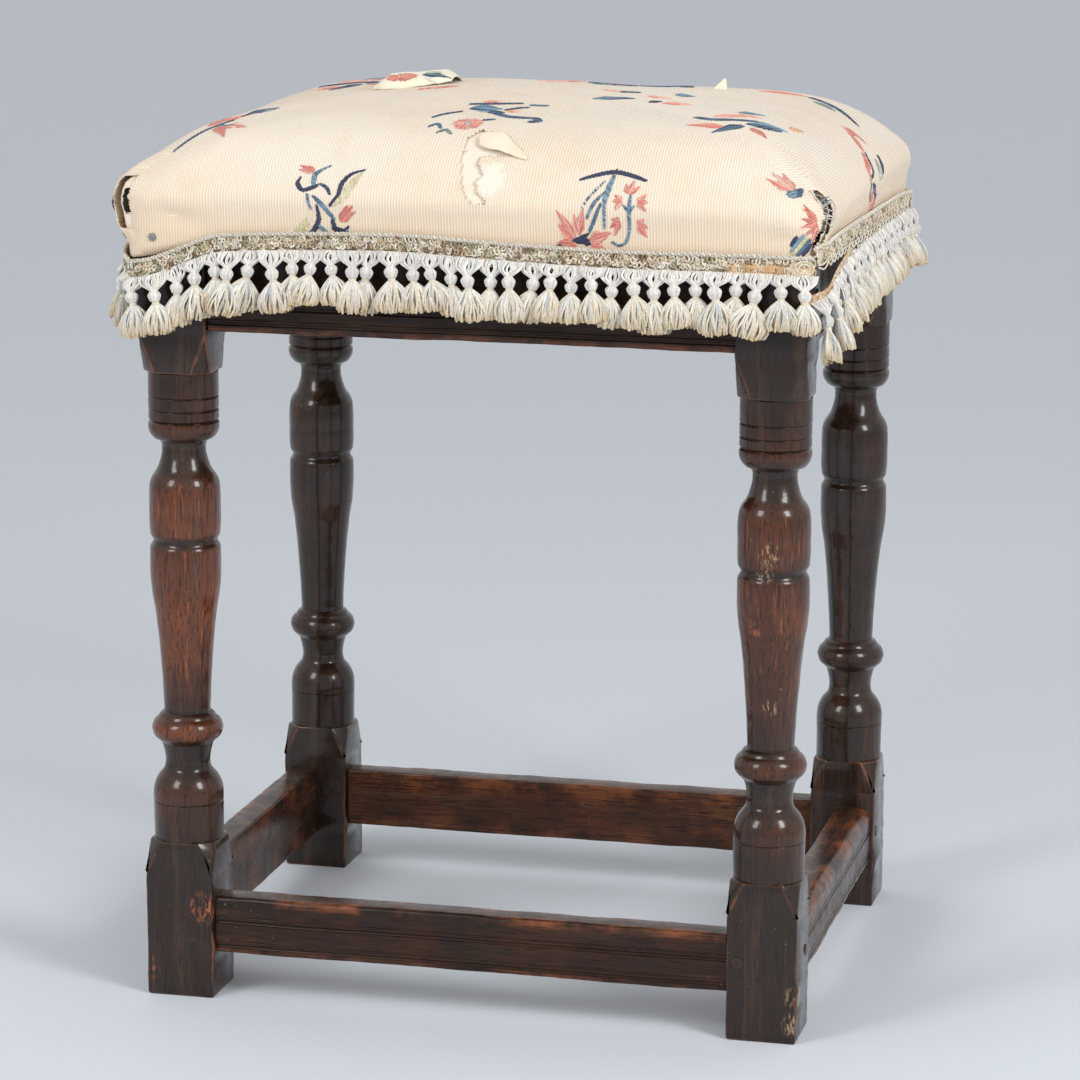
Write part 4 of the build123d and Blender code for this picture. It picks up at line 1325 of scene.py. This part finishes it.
def sew_front_middle(needle):
    """A bowed branch with stems that fan out from it to a leafy flower and a leafy ring."""
    needle.bar([(-20, 19), (-9, 23), (3, 25.5), (15, 23), (26, 19)], [1.6, 3.2, 3.4, 3.4, 1.8], "navy")
    needle.petal((3, 24), (4, 28.5), 2.2, "navy")
    needle.bar([(3, 23), (0.5, 11), (-1, 1)], [2, 4.6, 3], "sky", "sky", "slate")
    needle.bar([(-3, 18), (-12, 5), (-16, -3)], [1.2, 1.8, 1.2], "slate", "lilac")
    needle.bar([(-2, 9), (-8, 1), (-12.5, -8)], [1.4, 2.6, 1.4], "slate", "sky")
    needle.bar([(-3, 1), (-7, -8), (-11, -16)], [1.6, 2.6, 1.8], "slate")
    needle.bar([(-0.5, 4), (-0.5, -14)], [2.4, 1.8], "sky", "slate")
    needle.petal((-21, -20), (-33, -4), 7, "coral", "pink")
    needle.petal((-22, -22), (-32, -12), 6, "pink", "coral")
    needle.petal((-19, -18), (-15, -2), 6.5, "coral", "pink")
    needle.petal((-18, -18), (-21, -6), 5, "pink", "coral")
    needle.petal((-11, -21), (4, -16), 8, "coral", "pink")
    needle.petal((-10, -23), (3, -28), 7, "coral", "pink")
    needle.petal((-22, -23), (-34, -23), 5, "pink", "coral")
    needle.petal((-20, -24), (-27, -30), 5, "coral")
    needle.bar([(-22, -21), (-16, -21), (-11, -24)], [2, 6.5, 3], "navy")
    needle.bar([(-17, -20), (-11, -17)], [3, 1], "navy")
    needle.petal((-30, -26), (-36, -26), 4, "navy")
    for tip in ((12, 16.5), (17.5, 19), (23, 15)):
        needle.petal((15, 9), tip, 4, "coral", "pink", "pink")
    for tip in ((5.5, 8), (4.5, 3), (7, -3)):
        needle.petal((11, 4), tip, 3.6, "pink", "coral")
    for tip in ((4.5, -8), (3.5, -13), (6, -18)):
        needle.petal((10, -9), tip, 3.8, "pink", "coral")
    for tip in ((27.5, 9), (29.5, 3), (28, -3)):
        needle.petal((22, 3), tip, 4, "coral", "pink")
    for tip in ((27, -7), (30, -12), (29, -18)):
        needle.petal((22, -11), tip, 4.2, "coral", "pink")
    stem = [(16.7, 8), (16.4, -4), (16.4, -14), (14, -21), (9.5, -23.5), (4.5, -21.5)]
    needle.bar(stem, [1.2, 2.6, 2.2, 2, 1.8, 1.4], "sky", "slate")
    needle.bar([(12.5, 0.5), (16.4, -3), (20, 0.5)], [1.2, 2.2, 1.2], "sky", "slate")


def sew_back_left(needle):
    """A long stem that ends in a leaf, with loose petals beside it."""
    needle.bar([(-26, -34), (-14, -14), (-4, 0), (4, 10)], [0.8, 1.8, 1.8, 1.6], "navy", "slate")
    needle.bar([(2, 14), (9, 26), (17, 38)], [1.6, 2, 1.4], "slate", "navy")
    needle.petal((8, 30), (26, 42), 14, "navy", "slate", "slate")
    needle.petal((12, 30), (26, 36), 6, "sage", "sky")
    needle.petal((-12, 2), (-4, 26), 8, "pink", "coral")
    needle.petal((-2, 10), (8, 26), 8, "pink", "coral")
    needle.petal((2, -4), (20, -14), 13, "pink", "cream", "coral")
    needle.petal((-4, -4), (8, -28), 9, "pink", "coral")
    needle.bar([(-2, -2), (4, -8), (10, -4)], [1.4, 2.4, 1.2], "slate")


def sew_top_middle(needle):
    """Crossing twigs in navy and blue, half worn away, with a small pink flower in front of them."""
    needle.bar([(-40, -31), (-32, -18), (-24, -8)], [1.0, 1.6, 1.2], "navy", "slate")
    needle.petal((-20, 6), (2, 2), 12, "sky", "slate")
    needle.petal((-16, -2), (6, -8), 9, "slate", "navy", "sky")
    needle.bar([(-24, 12), (-8, 16), (12, 22)], [1.5, 2.2, 1.2], "navy", "navy", "slate")
    needle.bar([(-20, 1), (-4, -7), (10, -18), (30, -21)], [2, 3.2, 3, 2.4], "navy", "slate")
    needle.bar([(28, -30), (33, -28), (33, -21)], [1.5, 4.4, 2], "slate", "navy")
    needle.bar([(4, 0), (12, 9), (18, 12)], [1.4, 2, 1.2], "navy", "slate")
    needle.bar([(18, 19), (30, 20)], [1.6, 1.2], "slate")
    needle.bar([(-4, -31), (4, -28)], [1.8, 1.2], "slate", "navy")
    needle.petal((-16, 18), (-4, 24), 5, "pink", "coral")
    needle.petal((6, -4), (16, -2), 4, "pink", "peach")
    needle.flower((-13, -39), 10.5, 1.0, "pink", "coral", "pink")
    needle.flower((-12, -39), 3.2, 1.0, "slate", "lilac")
    needle.bar([(-38, -48), (-33, -43), (-29, -50)], [1.2, 1.6, 1.0], "slate")
    needle.bar([(-30, -56), (-25, -52), (-20, -57)], [1.2, 1.8, 1.0], "slate", "sage")


def sew_top_right(needle):
    """Loose leaves and petals near the back."""
    needle.bar([(-32, 12), (-20, 10)], [2.4, 2], "pink")
    needle.bar([(-20, 10), (-8, 13)], [3, 2], "slate", "navy")
    needle.petal((-30, -38), (-4, -14), 9, "navy", "slate", "sky")
    needle.petal((0, 0), (18, 2), 5, "pink")
    needle.petal((16, 22), (30, 26), 12, "slate", "sky")
    needle.bar([(8, -22), (14, -20)], [5, 4], "navy")
    needle.petal((16, -24), (38, -20), 9, "pink", "coral")


def sew_right(needle):
    """A spray of long petals on a navy stem."""
    needle.petal((-16, 10), (6, 30), 9, "coral", "pink")
    needle.petal((-6, 24), (12, 36), 7, "coral", "pink")
    needle.petal((-6, 44), (12, 56), 8, "sky", "slate")
    needle.bar([(-26, 2), (-14, -2), (2, 6), (14, 14)], [3, 4.4, 3, 2], "navy", "slate")
    needle.petal((-2, -22), (-28, -26), 11, "coral", "pink")
    needle.petal((12, 6), (34, 14), 13, "sky", "slate", "sky")
    needle.bar([(10, 0), (24, 2), (32, 8)], [3, 6, 2], "navy", "slate")
    needle.petal((8, -8), (-8, -40), 9, "navy", "slate")
    needle.petal((14, -10), (28, -28), 8, "pink", "coral")
    needle.petal((34, 28), (40, 46), 7, "pink", "peach")


def sew_tulip(needle):
    """A tulip bud in a blue cup."""
    needle.petal((0, -1), (-15, 9), 6.5, "coral", "pink")
    needle.petal((1, 0), (-10, 16), 6.5, "pink", "pale", "peach")
    needle.petal((2, 1), (-3, 16), 6, "pink", "coral")
    needle.petal((-4, -6), (5, -1), 7, "sky", "slate")
    needle.petal((1, -6), (9, 5), 6.5, "navy", "slate")


def sew_split_flower(needle):
    """Half a flower, the rest lost in the split seam."""
    for tip in ((-9, 9), (-12, 3), (-12, -3), (-8, 12), (-9, -9), (-4, -16)):
        needle.petal((0, 0), tip, 4, "coral", "coral", "pink")


def sew_low_leaf(needle):
    """An oval leaf, striped from corner to corner, that stands on the braid."""
    ahead, across = Vector((0.6, 0.8)), Vector((0.8, -0.6))
    stripes = ((-5, 4, "navy"), (-2.5, 7, "sky"), (0, 7.5, "lime"), (2.5, 7, "slate"), (5, 4.5, "navy"))
    for offset, half_length, name in stripes:
        middle, reach = across * offset, ahead * half_length
        needle.bar([middle - reach, middle, middle + reach], [1.8, 3.2, 1.6], name)


def sew_corner_band(needle):
    """A navy leaf that shows beside the left split, with paler stitches below it."""
    needle.bar([(-8, -2), (0, 1), (8, 3)], [6, 8, 8], "navy", "slate", "navy")
    needle.bar([(-8, 4), (0, 7), (8, 8)], [2, 2.4, 2], "lime", "cream")
    needle.bar([(-6, -16), (4, -12)], [4, 5], "sky", "cream")
    needle.bar([(-5, -22), (4, -19)], [3, 4], "slate", "white")


def sew_over_edge(needle):
    """The top of a sprig that runs over the right-hand edge of the seat."""
    needle.bar([(-47, -30), (-31, -28), (-18, -19), (-8, -13)], [2.2, 2, 1.6, 1.2], "slate", "navy")
    needle.bar([(-25, -19), (-19, -13), (-16, -20)], [1.2, 1.6, 1.0], "slate", "sky")
    needle.petal((-9, -12), (4, 14), 7, "coral", "pink")
    needle.petal((0, 8), (16, 0), 7, "coral")
    needle.petal((6, 10), (20, -8), 6, "coral", "pink")


def sew_right_side(needle):
    """The flower and leaves of the same sprig, on the side of the seat."""
    needle.bar([(14, 12), (0, 6), (-12, 2), (-20, -6)], [4, 5.5, 4, 2], "coral", "pink", "coral")
    needle.bar([(-19, -4), (-14, -12), (-6, -20)], [1.6, 2, 1.8], "slate", "sage")
    needle.bar([(50, 6), (40, -2), (26, -8)], [2, 5.5, 1.6], "navy")
    needle.petal((20, -8), (36, 6), 10, "sage", "sky", "cream")
    needle.petal((-6, -20), (2, -12), 5, "coral")
    needle.bar([(-8, -8), (8, -14), (18, -20)], [2.4, 4.4, 2], "slate", "navy")
    needle.petal((14, -20), (-8, -26), 7, "coral", "pink")
    needle.bar([(20, -18), (6, -26), (-4, -30)], [1.6, 2, 1], "slate")


def sew_back_edge(needle):
    """The near part of a sprig that lies over the back of the seat."""
    needle.petal((-30, -6), (6, 8), 8, "pink", "coral")
    needle.bar([(8, 4), (26, 0), (44, -10)], [2.4, 4, 2], "navy", "slate")
    needle.petal((12, -10), (30, -14), 7, "slate", "sage")


def sew_folded_flap(needle):
    """A flower and a leaf on the folded flap, and stitches of their sprig in front of it."""
    needle.flower((-14, 3), 12, 0.5, "coral", "coral", "pink")
    needle.flower((-13, 3), 5, 0.5, "pink", "peach")
    needle.petal((2, 5), (24, 3), 5, "navy", "slate", "sky")
    needle.petal((2, 7), (18, 8), 4, "sage", "sky", "lime")
    needle.bar([(6, 1), (14, -4)], [3, 2], "white", "lilac")


def sew_flap_foot(needle):
    """A twig of the same sprig, in front of the folded flap."""
    needle.bar([(-4, 0), (10, 2), (22, 8)], [3, 3, 2], "coral", "pink")


# The way to the right and the way up on each face of the seat, for someone who looks at that face.
straight_up = (0, 0, 1)
on_top = ((1, 0, 0), (0, 1, 0))
on_front = ((1, 0, 0), (0, 0.4, 0.92))
on_back = ((-1, 0, 0), (0, -0.4, 0.92))
on_left = ((0, -1, 0), (0.4, 0, 0.92))

# Each motif, its middle, its ways to the right and up, and how bold it is.
sprigs = [
    (sew_front_left, (-97.5, -206, 578), on_front, 1.0),
    (sew_front_middle, (98.5, -206, 579), on_front, 1.0),
    (sew_back_left, (-187, -140, 616), on_top, 1.9),
    (sew_top_middle, (0, -101, 628), on_top, 1.9),
    (sew_top_right, (86, -16, 632), on_top, 1.9),
    (sew_right, (166, -104, 625), on_top, 1.9),
    (sew_tulip, (221, -188, 590), ((1, 0.3, -0.1), (-0.2, 0.5, 0.85)), 1.0),
    (sew_split_flower, (239, -194, 571), ((0.8, 0.6, 0), straight_up), 1.0),
    (sew_low_leaf, (230, -201, 556), ((1, 0, 0), straight_up), 1.0),
    (sew_corner_band, (-246, -187, 564), ((0, -1, 0), straight_up), 1.0),
    (sew_over_edge, (228, 40, 603), ((0, 1, 0), (-0.7, 0, 0.7)), 1.0),
    (sew_right_side, (246, 10, 582), ((0, 1, 0), (-0.3, 0, 1)), 1.0),
    (sew_back_edge, (176, 96, 622), on_top, 1.9),
    (sew_back_edge, (20, 60, 632), on_top, 1.9),
    (sew_folded_flap, (-82, -8, 637), ((1, 0, 0), (0, 0.5, 0.86)), 1.0),
    (sew_flap_foot, (-70, -36, 633), on_top, 1.9),
    # The same sprigs again, on the back, on the left side and at the back of the top.
    (sew_front_middle, (40, 206, 582), on_back, 1.0),
    (sew_front_left, (-120, 206, 578), on_back, 1.0),
    (sew_front_left, (-247, 80, 580), on_left, 1.0),
    (sew_front_middle, (-247, -60, 580), on_left, 1.0),
    (sew_right, (-150, 60, 622), on_top, 1.6),
    (sew_top_middle, (60, 130, 622), on_top, 1.6),
    # The threads frayed out of the right split.
    (sew_split_fray, (243, -184, 577), ((0.5, 0.86, 0), straight_up), 1.0),
]
silks = Cords()
chance = random.Random(12)
flap_surface = BVHTree.FromObject(folded_flap, bpy.context.evaluated_depsgraph_get())
for sew, middle, ways, bold in sprigs:
    surface = flap_surface if sew is sew_folded_flap else cover_surface
    sew(Needle(silks, middle, *ways, chance, bold, surface))
silk_bm = bmesh.new()
silks.add_to(silk_bm)
embroidery = piece_from(silk_bm, "silk_embroidery", 60)
embroidery.data.materials.append(thread_material("silk thread", 0.6, silk_shade))
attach(embroidery, "root")


# ---- Cover tacks -------------------------------------------------------------------------------------
# Forged iron tacks, driven through both cloths into the edge of the board. The braid hides them, but for
# the one that shows above it where it droops.
iron_dark = (0.20, 0.20, 0.19)
iron_grey = (0.38, 0.38, 0.37)


def iron_material():
    """Dull grey forged iron."""
    material, tree, shader, place = new_material("forged iron")
    hammered = mottle(tree, place, 500, 3, 0.6)
    colour = blend_colour(tree, spread(tree, hammered, 0.4, 0.65), iron_dark, iron_grey)
    finish_shader(tree, shader, colour, hammered, 0.6, 0.3, Metallic=0.7, Roughness=0.5)
    return material


frame["nodes"]["cover_tacks"].data.materials.clear()
frame["nodes"]["cover_tacks"].data.materials.append(iron_material())


# ---- Braid -------------------------------------------------------------------------------------------
# A looped braid is sewn over the nailed edge of the cover: a twisted cord along its top, three rows of
# small uneven loops, and below them double cords that hang in one scallop for each tassel.
braid_back = {"front": 203.7, "right": 244.2, "back": 203.7, "left": 244.2}  # from the middle of the stool
corner_turn = 22.6  # radius of the braid's back, where it bends halfway round a corner to meet the next
side_at_end = {"front": "right", "right": "back", "back": "left", "left": "front"}
straight_run = {side: braid_back[side_at_end[side]] - corner_turn for side in side_ways}
braid_end = {side: run + corner_turn * math.pi / 4 for side, run in straight_run.items()}
braid_height = 12.5
edge_cord_step = 0.8
edge_cord_twist = 4.2  # length of the top cord in which its two strands turn once
edge_strand_radius = 0.95
edge_strand_offset = 0.85
loop_pitch = 2.5
loop_rows = (3.9, 6.3, 8.7)  # how far below the braid's top
loop_cord_radius = 0.72
tassel_pitch = 13.9
scallop_drop = 4.0
scallop_cord_radius = 0.62
coil_steps = 49
coil_turns = 2.6
braid_shade = (0.66, 0.58, 0.48)
loop_tints = ["cream"] * 3 + ["pale"] * 4 + ["straw", "straw", "brown", "green"]

# The top of each side's braid: distance along the side, and height. It sags where its stitches have gone.
braid_tops = {
    "front": [
        (-245, 528), (-221, 532), (-192, 543), (-169, 550), (-114, 553), (-43, 554.5), (12, 552), (95, 549),
        (163, 549), (217, 549), (245, 547),
    ],
    "right": [(-203, 552), (-179, 557), (-68, 556), (60, 553), (146, 550), (203, 545)],
    "back": [(-245, 548), (-170, 553), (0, 553), (170, 553), (245, 549)],
    "left": [(-203, 549), (-128, 553), (0, 553), (128, 550), (203, 529)],
}


class TrimLine:
    """The line that one side's braid or fringe follows, with places found by their distance along it."""

    def __init__(self, side, tops):
        self.side = side
        self.line = smooth_line([Vector(point) for point in tops], 12)

    def place(self, along, out, down):
        """A point out from the cloth and down from the line."""
        for start, end in zip(self.line, self.line[1:]):
            if along <= end.x or end is self.line[-1]:
                share = (along - start.x) / (end.x - start.x)
                slope = math.atan2(end.y - start.y, end.x - start.x)
                height = start.y + share * (end.y - start.y) - down
                return self.round_corner(along + 0.5 * down * math.sin(slope), out, height)
        return None

    def round_corner(self, along, out, height):
        """The point at one height, bent round the seat's corner beyond the end of the straight run."""
        straight = straight_run[self.side]
        turn = max(0.0, abs(along) - straight) / corner_turn
        level_run = min(abs(along), straight) + (corner_turn + out) * math.sin(turn)
        outward = braid_back[self.side] - corner_turn + (corner_turn + out) * math.cos(turn)
        return on_side(self.side, math.copysign(level_run, along), outward, height)


def add_coil(cords, trim, along, down, chance):
    """The loose end of a braid's cord, coiled flat and stitched over the corner."""
    coil = []
    for step in range(coil_steps + 1):
        turn = step / coil_steps * coil_turns * math.tau
        radius = 1.5 + 5.2 * step / coil_steps
        across, lower = 1.15 * radius * math.cos(turn), 0.85 * radius * math.sin(turn)
        coil.append(trim.place(along + across, 3.4, down + lower))
    cords.add(coil, 1.0, varied(chance, "cream"))


def make_braid(side, chance):
    """One side's braid: its backing, with the edge cord, loops and scallops sewn to it."""
    bm = bmesh.new()
    colour = bm.verts.layers.float_color.new("thread")
    trim = TrimLine(side, braid_tops[side])
    end = braid_end[side]
    backing = bmesh.ops.create_grid(bm, x_segments=round(end / 2), y_segments=4, size=1)["verts"]
    for vert in backing:
        along, share_up = vert.co.x * end, (vert.co.y + 1) / 2
        bulge = 1.1 * math.sin(share_up * math.pi)
        vert.co = trim.place(along, 0.5 + bulge, braid_height * (1 - share_up))
        vert[colour] = (*varied(chance, "straw", "brown", "green", "straw"), 1.0)
    cords = Cords()
    steps = round(2 * end / edge_cord_step)
    for strand in (0, 1):
        points = []
        for step in range(steps + 1):
            turn = step * edge_cord_step / edge_cord_twist * math.tau + strand * math.pi
            along = -end + 2 * end * step / steps
            out, down = edge_strand_offset * math.cos(turn), edge_strand_offset * math.sin(turn)
            points.append(trim.place(along, 2.2 + out, 0.7 + down))
        cords.add(points, edge_strand_radius, varied(chance, "pale"))
    columns = round(2 * end / loop_pitch)
    for column in range(columns):
        for row in loop_rows:
            along = -end + (column + chance.uniform(0.1, 0.9)) * 2 * end / columns
            middle = row + chance.uniform(-0.8, 0.8)
            wide, tall = chance.uniform(0.9, 1.8), chance.uniform(1.2, 2.4)
            lean = chance.uniform(-1.0, 1.0)
            loop = []
            for step in range(9):
                turn = math.tau * step / 8 + row
                out = 2.0 + 0.9 * math.sin(turn * 0.5 + column + row)
                across = wide * math.cos(turn) + lean * math.sin(turn)
                loop.append(trim.place(along + across, out, middle + tall * math.sin(turn)))
            cords.add(loop, loop_cord_radius, varied(chance, *loop_tints))
    scallops = round(2 * end / tassel_pitch)
    for scallop in range(scallops):
        for strand in (0, 1):
            points = []
            for step in range(9):
                share = step / 8
                along = -end + (scallop + share) * 2 * end / scallops
                drop = scallop_drop * math.sin(share * math.pi) * (0.6 + 0.4 * strand)
                down = braid_height - 1.6 + drop + 1.5 * strand
                points.append(trim.place(along, 2.0 + 0.6 * strand, down))
            cords.add(points, scallop_cord_radius, varied(chance, "cream", "pale", "pale"))
    if side == "front":
        add_coil(cords, trim, end - 7, 7.0, chance)
    cords.add_to(bm)
    return piece_from(bm, side + "_looped_braid", 60)


braid_thread = thread_material("braid thread", 0.75, braid_shade)
for number, side in enumerate(side_ways):
    braid = make_braid(side, random.Random(40 + number))
    braid.data.materials.append(braid_thread)
    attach(braid, "root")
    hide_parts(side + "_braid")


# ---- Fringe ------------------------------------------------------------------------------------------
# From the scallops hang pale cords that draw together and wrap the head of each tassel. Below its bound
# neck a tassel has a skirt of soft threads gone yellow at the ends. They overlap and lean all ways.
cord_drop = 10.0  # from the scallops to the tops of the tassels

# The top of each side's fringe, which on the right has slipped below its braid.
fringe_tops = {
    side: [(along, height - braid_height + 0.5) for along, height in braid_tops[side]] for side in side_ways
}
fringe_tops["right"] = [(-203, 517), (-150, 530), (-87, 537), (0, 538), (146, 536), (203, 532)]
fringe_lean = {"front": (-8, 3), "right": (-20, -6), "back": (-8, 3), "left": (-10, 0)}  # below 0 is outward
tassel_swing = 13  # sideways, in degrees
peach_heading = {"front": (185.0, 238.0), "right": (-205.0, -90.0)}  # where the fringe shows its heading
heading_pitch = 1.7
bundle_cords = 7
bundle_reach = tassel_pitch * 0.62  # how far to each side of a tassel its cords hang from
bundle_cord_radius = 0.88
neck_radius = 2.7
head_height = 7.4
neck_height = 3.4
skirt_height = 21.0
skirt_radius = 12.2
skirt_squash = 0.55  # a skirt hangs flatter than it is wide, among its neighbours
skirt_threads = 76
skirt_thread_radius = 0.62
skirt_thread_end_radius = 0.85
fringe_shade = (0.80, 0.78, 0.75)

# Down a tassel's body: distance below the top of its head, radius and thread colour.
tassel_turning = [
    (0.0, 0.6, "lilac"),
    (0.6, 2.0, "lilac"),
    (2.0, 3.3, "blue"),
    (3.9, 3.7, "lilac"),
    (5.8, 3.3, "blue"),
    (7.0, 2.7, "cream"),
    (7.6, 2.6, "cream"),
    (10.2, 2.7, "cream"),
    (11.0, 3.6, "pale"),
    (14.0, 5.6, "pale"),
    (20.0, 7.6, "cream"),
    (27.0, 8.6, "straw"),
    (28.0, 0.4, "straw"),
]


def tassel_body():
    """The wound head, bound neck and inner threads of a tassel, hung from the origin."""
    bm = bmesh.new()
    colour = bm.verts.layers.float_color.new("thread")
    chain = []
    for down, radius, tint in tassel_turning:
        chain.append(bm.verts.new((radius * mm, 0, -down * mm)))
        chain[-1][colour] = (*thread_colours[tint], 1.0)
    edges = [bm.edges.new(pair) for pair in zip(chain, chain[1:])]
    spin_round(bm, chain + edges, 12)
    for vert in bm.verts:
        if vert.co.z < -(head_height + neck_height) * mm:
            vert.co.y *= skirt_squash
    bmesh.ops.recalc_face_normals(bm, faces=bm.faces)
    mesh = bpy.data.meshes.new("tassel body")
    bm.to_mesh(mesh)
    bm.free()
    return mesh


def add_skirt(cords, hang, chance):
    """The skirt threads of one tassel, which hang takes to its place."""
    neck = head_height + neck_height - 0.6
    spread_out = skirt_radius * chance.uniform(0.78, 1.12) - neck_radius
    for number in range(skirt_threads):
        turn = math.tau * number / skirt_threads + chance.uniform(-0.1, 0.1)
        flare = spread_out * chance.uniform(0.85, 1.1)
        rounded = 1 - 0.12 * abs(math.cos(turn)) ** 3
        length = skirt_height * chance.uniform(0.95, 1.03) * rounded
        points = []
        for step in range(6):
            share = step / 5
            radius = neck_radius + flare * math.sin(2.1 * share)
            sway = turn + 0.14 * math.sin(3 * share + number)
            across, out = radius * math.cos(sway), radius * math.sin(sway)
            points.append(hang @ (Vector((across, out * skirt_squash, -neck - length * share)) * mm))
        tint = varied(chance, "lilac", "white", "pale", "pale", "cream", "cream", "blue")
        end_tint = varied(chance, "straw", "straw", "ochre")
        cords.add(points, skirt_thread_radius, tint, skirt_thread_end_radius, end_tint)


def add_heading(cords, trim, start, end, chance):
    """A strip of small peach loops that heads the fringe where it has come away from its braid."""
    along = start
    while along < end:
        wide, tall = chance.uniform(1.6, 2.4), chance.uniform(2.4, 3.2)
        loop = []
        for step in range(9):
            turn = math.tau * step / 8
            out, down = 2.6 + 0.8 * math.sin(turn), -2.2 - tall * math.sin(turn)
            loop.append(trim.place(along + wide * math.cos(turn), out, down))
        cords.add(loop, 0.75, varied(chance, "peach", "peach", "ochre", "cream"))
        along += heading_pitch


def add_bundle(cords, trim, start, end, layer, hang, chance):
    """The cords that draw together from a scallop of the braid and wrap a tassel's head down to its neck."""
    toward = math.copysign(1, end - start)
    out_way, along_way, _, _ = side_ways[trim.side]
    for cord in range(bundle_cords):
        share = cord / (bundle_cords - 1)
        begin = trim.place(start + share * (end - start), 1.0 + layer, 0.0)
        turn = math.radians((100 * share - 75) * toward)
        crown, brow, neck = [
            hang @ (Vector((radius * math.sin(turn), radius * math.cos(turn), -down)) * mm)
            for radius, down in ((2.2, 0.2), (4.2, 3.4), (neck_radius, head_height))
        ]
        bow = out_way * chance.uniform(0.8, 2.0) - along_way * toward * chance.uniform(1.4, 3.6)
        line = smooth_line([begin, begin.lerp(crown, 0.5) + bow * mm, crown, brow, neck], 3)
        cords.add(line, bundle_cord_radius, varied(chance, "lilac", "lilac", "pale"))


def make_fringe(side, chance):
    """One side's hanging cords and tassels."""
    bm = bmesh.new()
    body = tassel_body()
    cords = Cords()
    trim = TrimLine(side, fringe_tops[side])
    end = braid_end[side]
    if side in peach_heading:
        add_heading(cords, trim, *peach_heading[side], chance)
    out_way, along_way, _, _ = side_ways[side]
    facing = Matrix((along_way, out_way, (0, 0, 1))).transposed().to_4x4()
    tassels = round(2 * end / tassel_pitch)
    for number in range(tassels):
        along = -end + (number + 0.5) * 2 * end / tassels
        layer = 2.0 * (number % 2) + chance.uniform(-0.4, 0.8)
        drop = cord_drop + chance.uniform(-2.4, 1.6)
        top = trim.place(along + chance.uniform(-2.0, 2.0), layer + 3.6, drop)
        swing = Matrix.Rotation(math.radians(chance.uniform(-tassel_swing, tassel_swing)), 4, out_way)
        tilt = Matrix.Rotation(math.radians(chance.uniform(*fringe_lean[side])), 4, along_way)
        size = Matrix.Scale(chance.uniform(0.9, 1.06), 4)
        hang = Matrix.Translation(top) @ tilt @ swing @ facing @ size
        copy = body.copy()
        copy.transform(hang)
        bm.from_mesh(copy)
        bpy.data.meshes.remove(copy)
        add_bundle(cords, trim, along - bundle_reach, along + 1.0, layer, hang, chance)
        add_bundle(cords, trim, along + bundle_reach, along - 1.0, layer + 0.8, hang, chance)
        add_skirt(cords, hang, chance)
    cords.add_to(bm)
    return piece_from(bm, side + "_tassel_fringe", 60)


fringe_thread = thread_material("fringe thread", 0.55, fringe_shade)
for number, side in enumerate(side_ways):
    fringe = make_fringe(side, random.Random(70 + number))
    fringe.data.materials.append(fringe_thread)
    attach(fringe, "root")
    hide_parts(side + "_fringe")


# ---- Studio ------------------------------------------------------------------------------------------
# A plain pale floor and a soft, even fill, with a soft box above and to each side of the camera. The right
# one is the stronger.
soft_box_distance = 2300.0
soft_box_size = (600.0, 900.0)
lamp_aim = Vector((0, 0, 380))
floor_grey = (0.67, 0.71, 0.76)
fill_white = (0.84, 0.84, 0.85)
fill_strength = 0.8


def studio_material(name, colour):
    """A matt, even paint."""
    material = bpy.data.materials.new(name)
    material.use_nodes = True
    shader = material.node_tree.nodes["Principled BSDF"]
    shader.inputs["Base Color"].default_value = (*colour, 1.0)
    shader.inputs["Roughness"].default_value = 0.85
    return material


def add_soft_box(name, turn, rise, energy):
    """A rectangular lamp aimed at the seat, turned from the front and raised above the level in degrees."""
    turn, rise = math.radians(turn), math.radians(rise)
    way = Vector((math.sin(turn) * math.cos(rise), -math.cos(turn) * math.cos(rise), math.sin(rise)))
    lamp_data = bpy.data.lights.new(name, "AREA")
    lamp_data.shape = "RECTANGLE"
    lamp_data.size = soft_box_size[0] * mm
    lamp_data.size_y = soft_box_size[1] * mm
    lamp_data.energy = energy
    lamp = bpy.data.objects.new(name, lamp_data)
    bpy.context.scene.collection.objects.link(lamp)
    lamp.location = (lamp_aim + way * soft_box_distance) * mm
    lamp.rotation_euler = way.to_track_quat("Z", "Y").to_euler()


floor_bm = bmesh.new()
bmesh.ops.create_grid(floor_bm, x_segments=1, y_segments=1, size=30)
floor = piece_from(floor_bm, "studio_floor")
floor.data.materials.append(studio_material("pale studio floor", floor_grey))

world = bpy.data.worlds.new("studio")
world.use_nodes = True
fill = world.node_tree.nodes["Background"]
fill.inputs["Color"].default_value = (*fill_white, 1.0)
fill.inputs["Strength"].default_value = fill_strength
bpy.context.scene.world = world
add_soft_box("left soft box", -33, 27, 16)
add_soft_box("right soft box", 56, 27, 25)
bpy.context.scene.view_settings.view_transform = "Standard"

camera_place = Vector((698.0, -2900.1, 929.6))
camera_turn = 13.42
camera_tilt = 78.16
camera_roll = 0.25
camera_data = bpy.data.cameras.new("camera")
camera_data.lens = 138.82
camera_data.sensor_width = 36.0
camera_data.clip_end = 60.0
camera = bpy.data.objects.new("camera", camera_data)
bpy.context.scene.collection.objects.link(camera)
camera.matrix_world = (
    Matrix.Translation(camera_place * mm)
    @ Matrix.Rotation(math.radians(camera_turn), 4, "Z")
    @ Matrix.Rotation(math.radians(camera_tilt), 4, "X")
    @ Matrix.Rotation(math.radians(camera_roll), 4, "Z")
)
bpy.context.scene.camera = camera
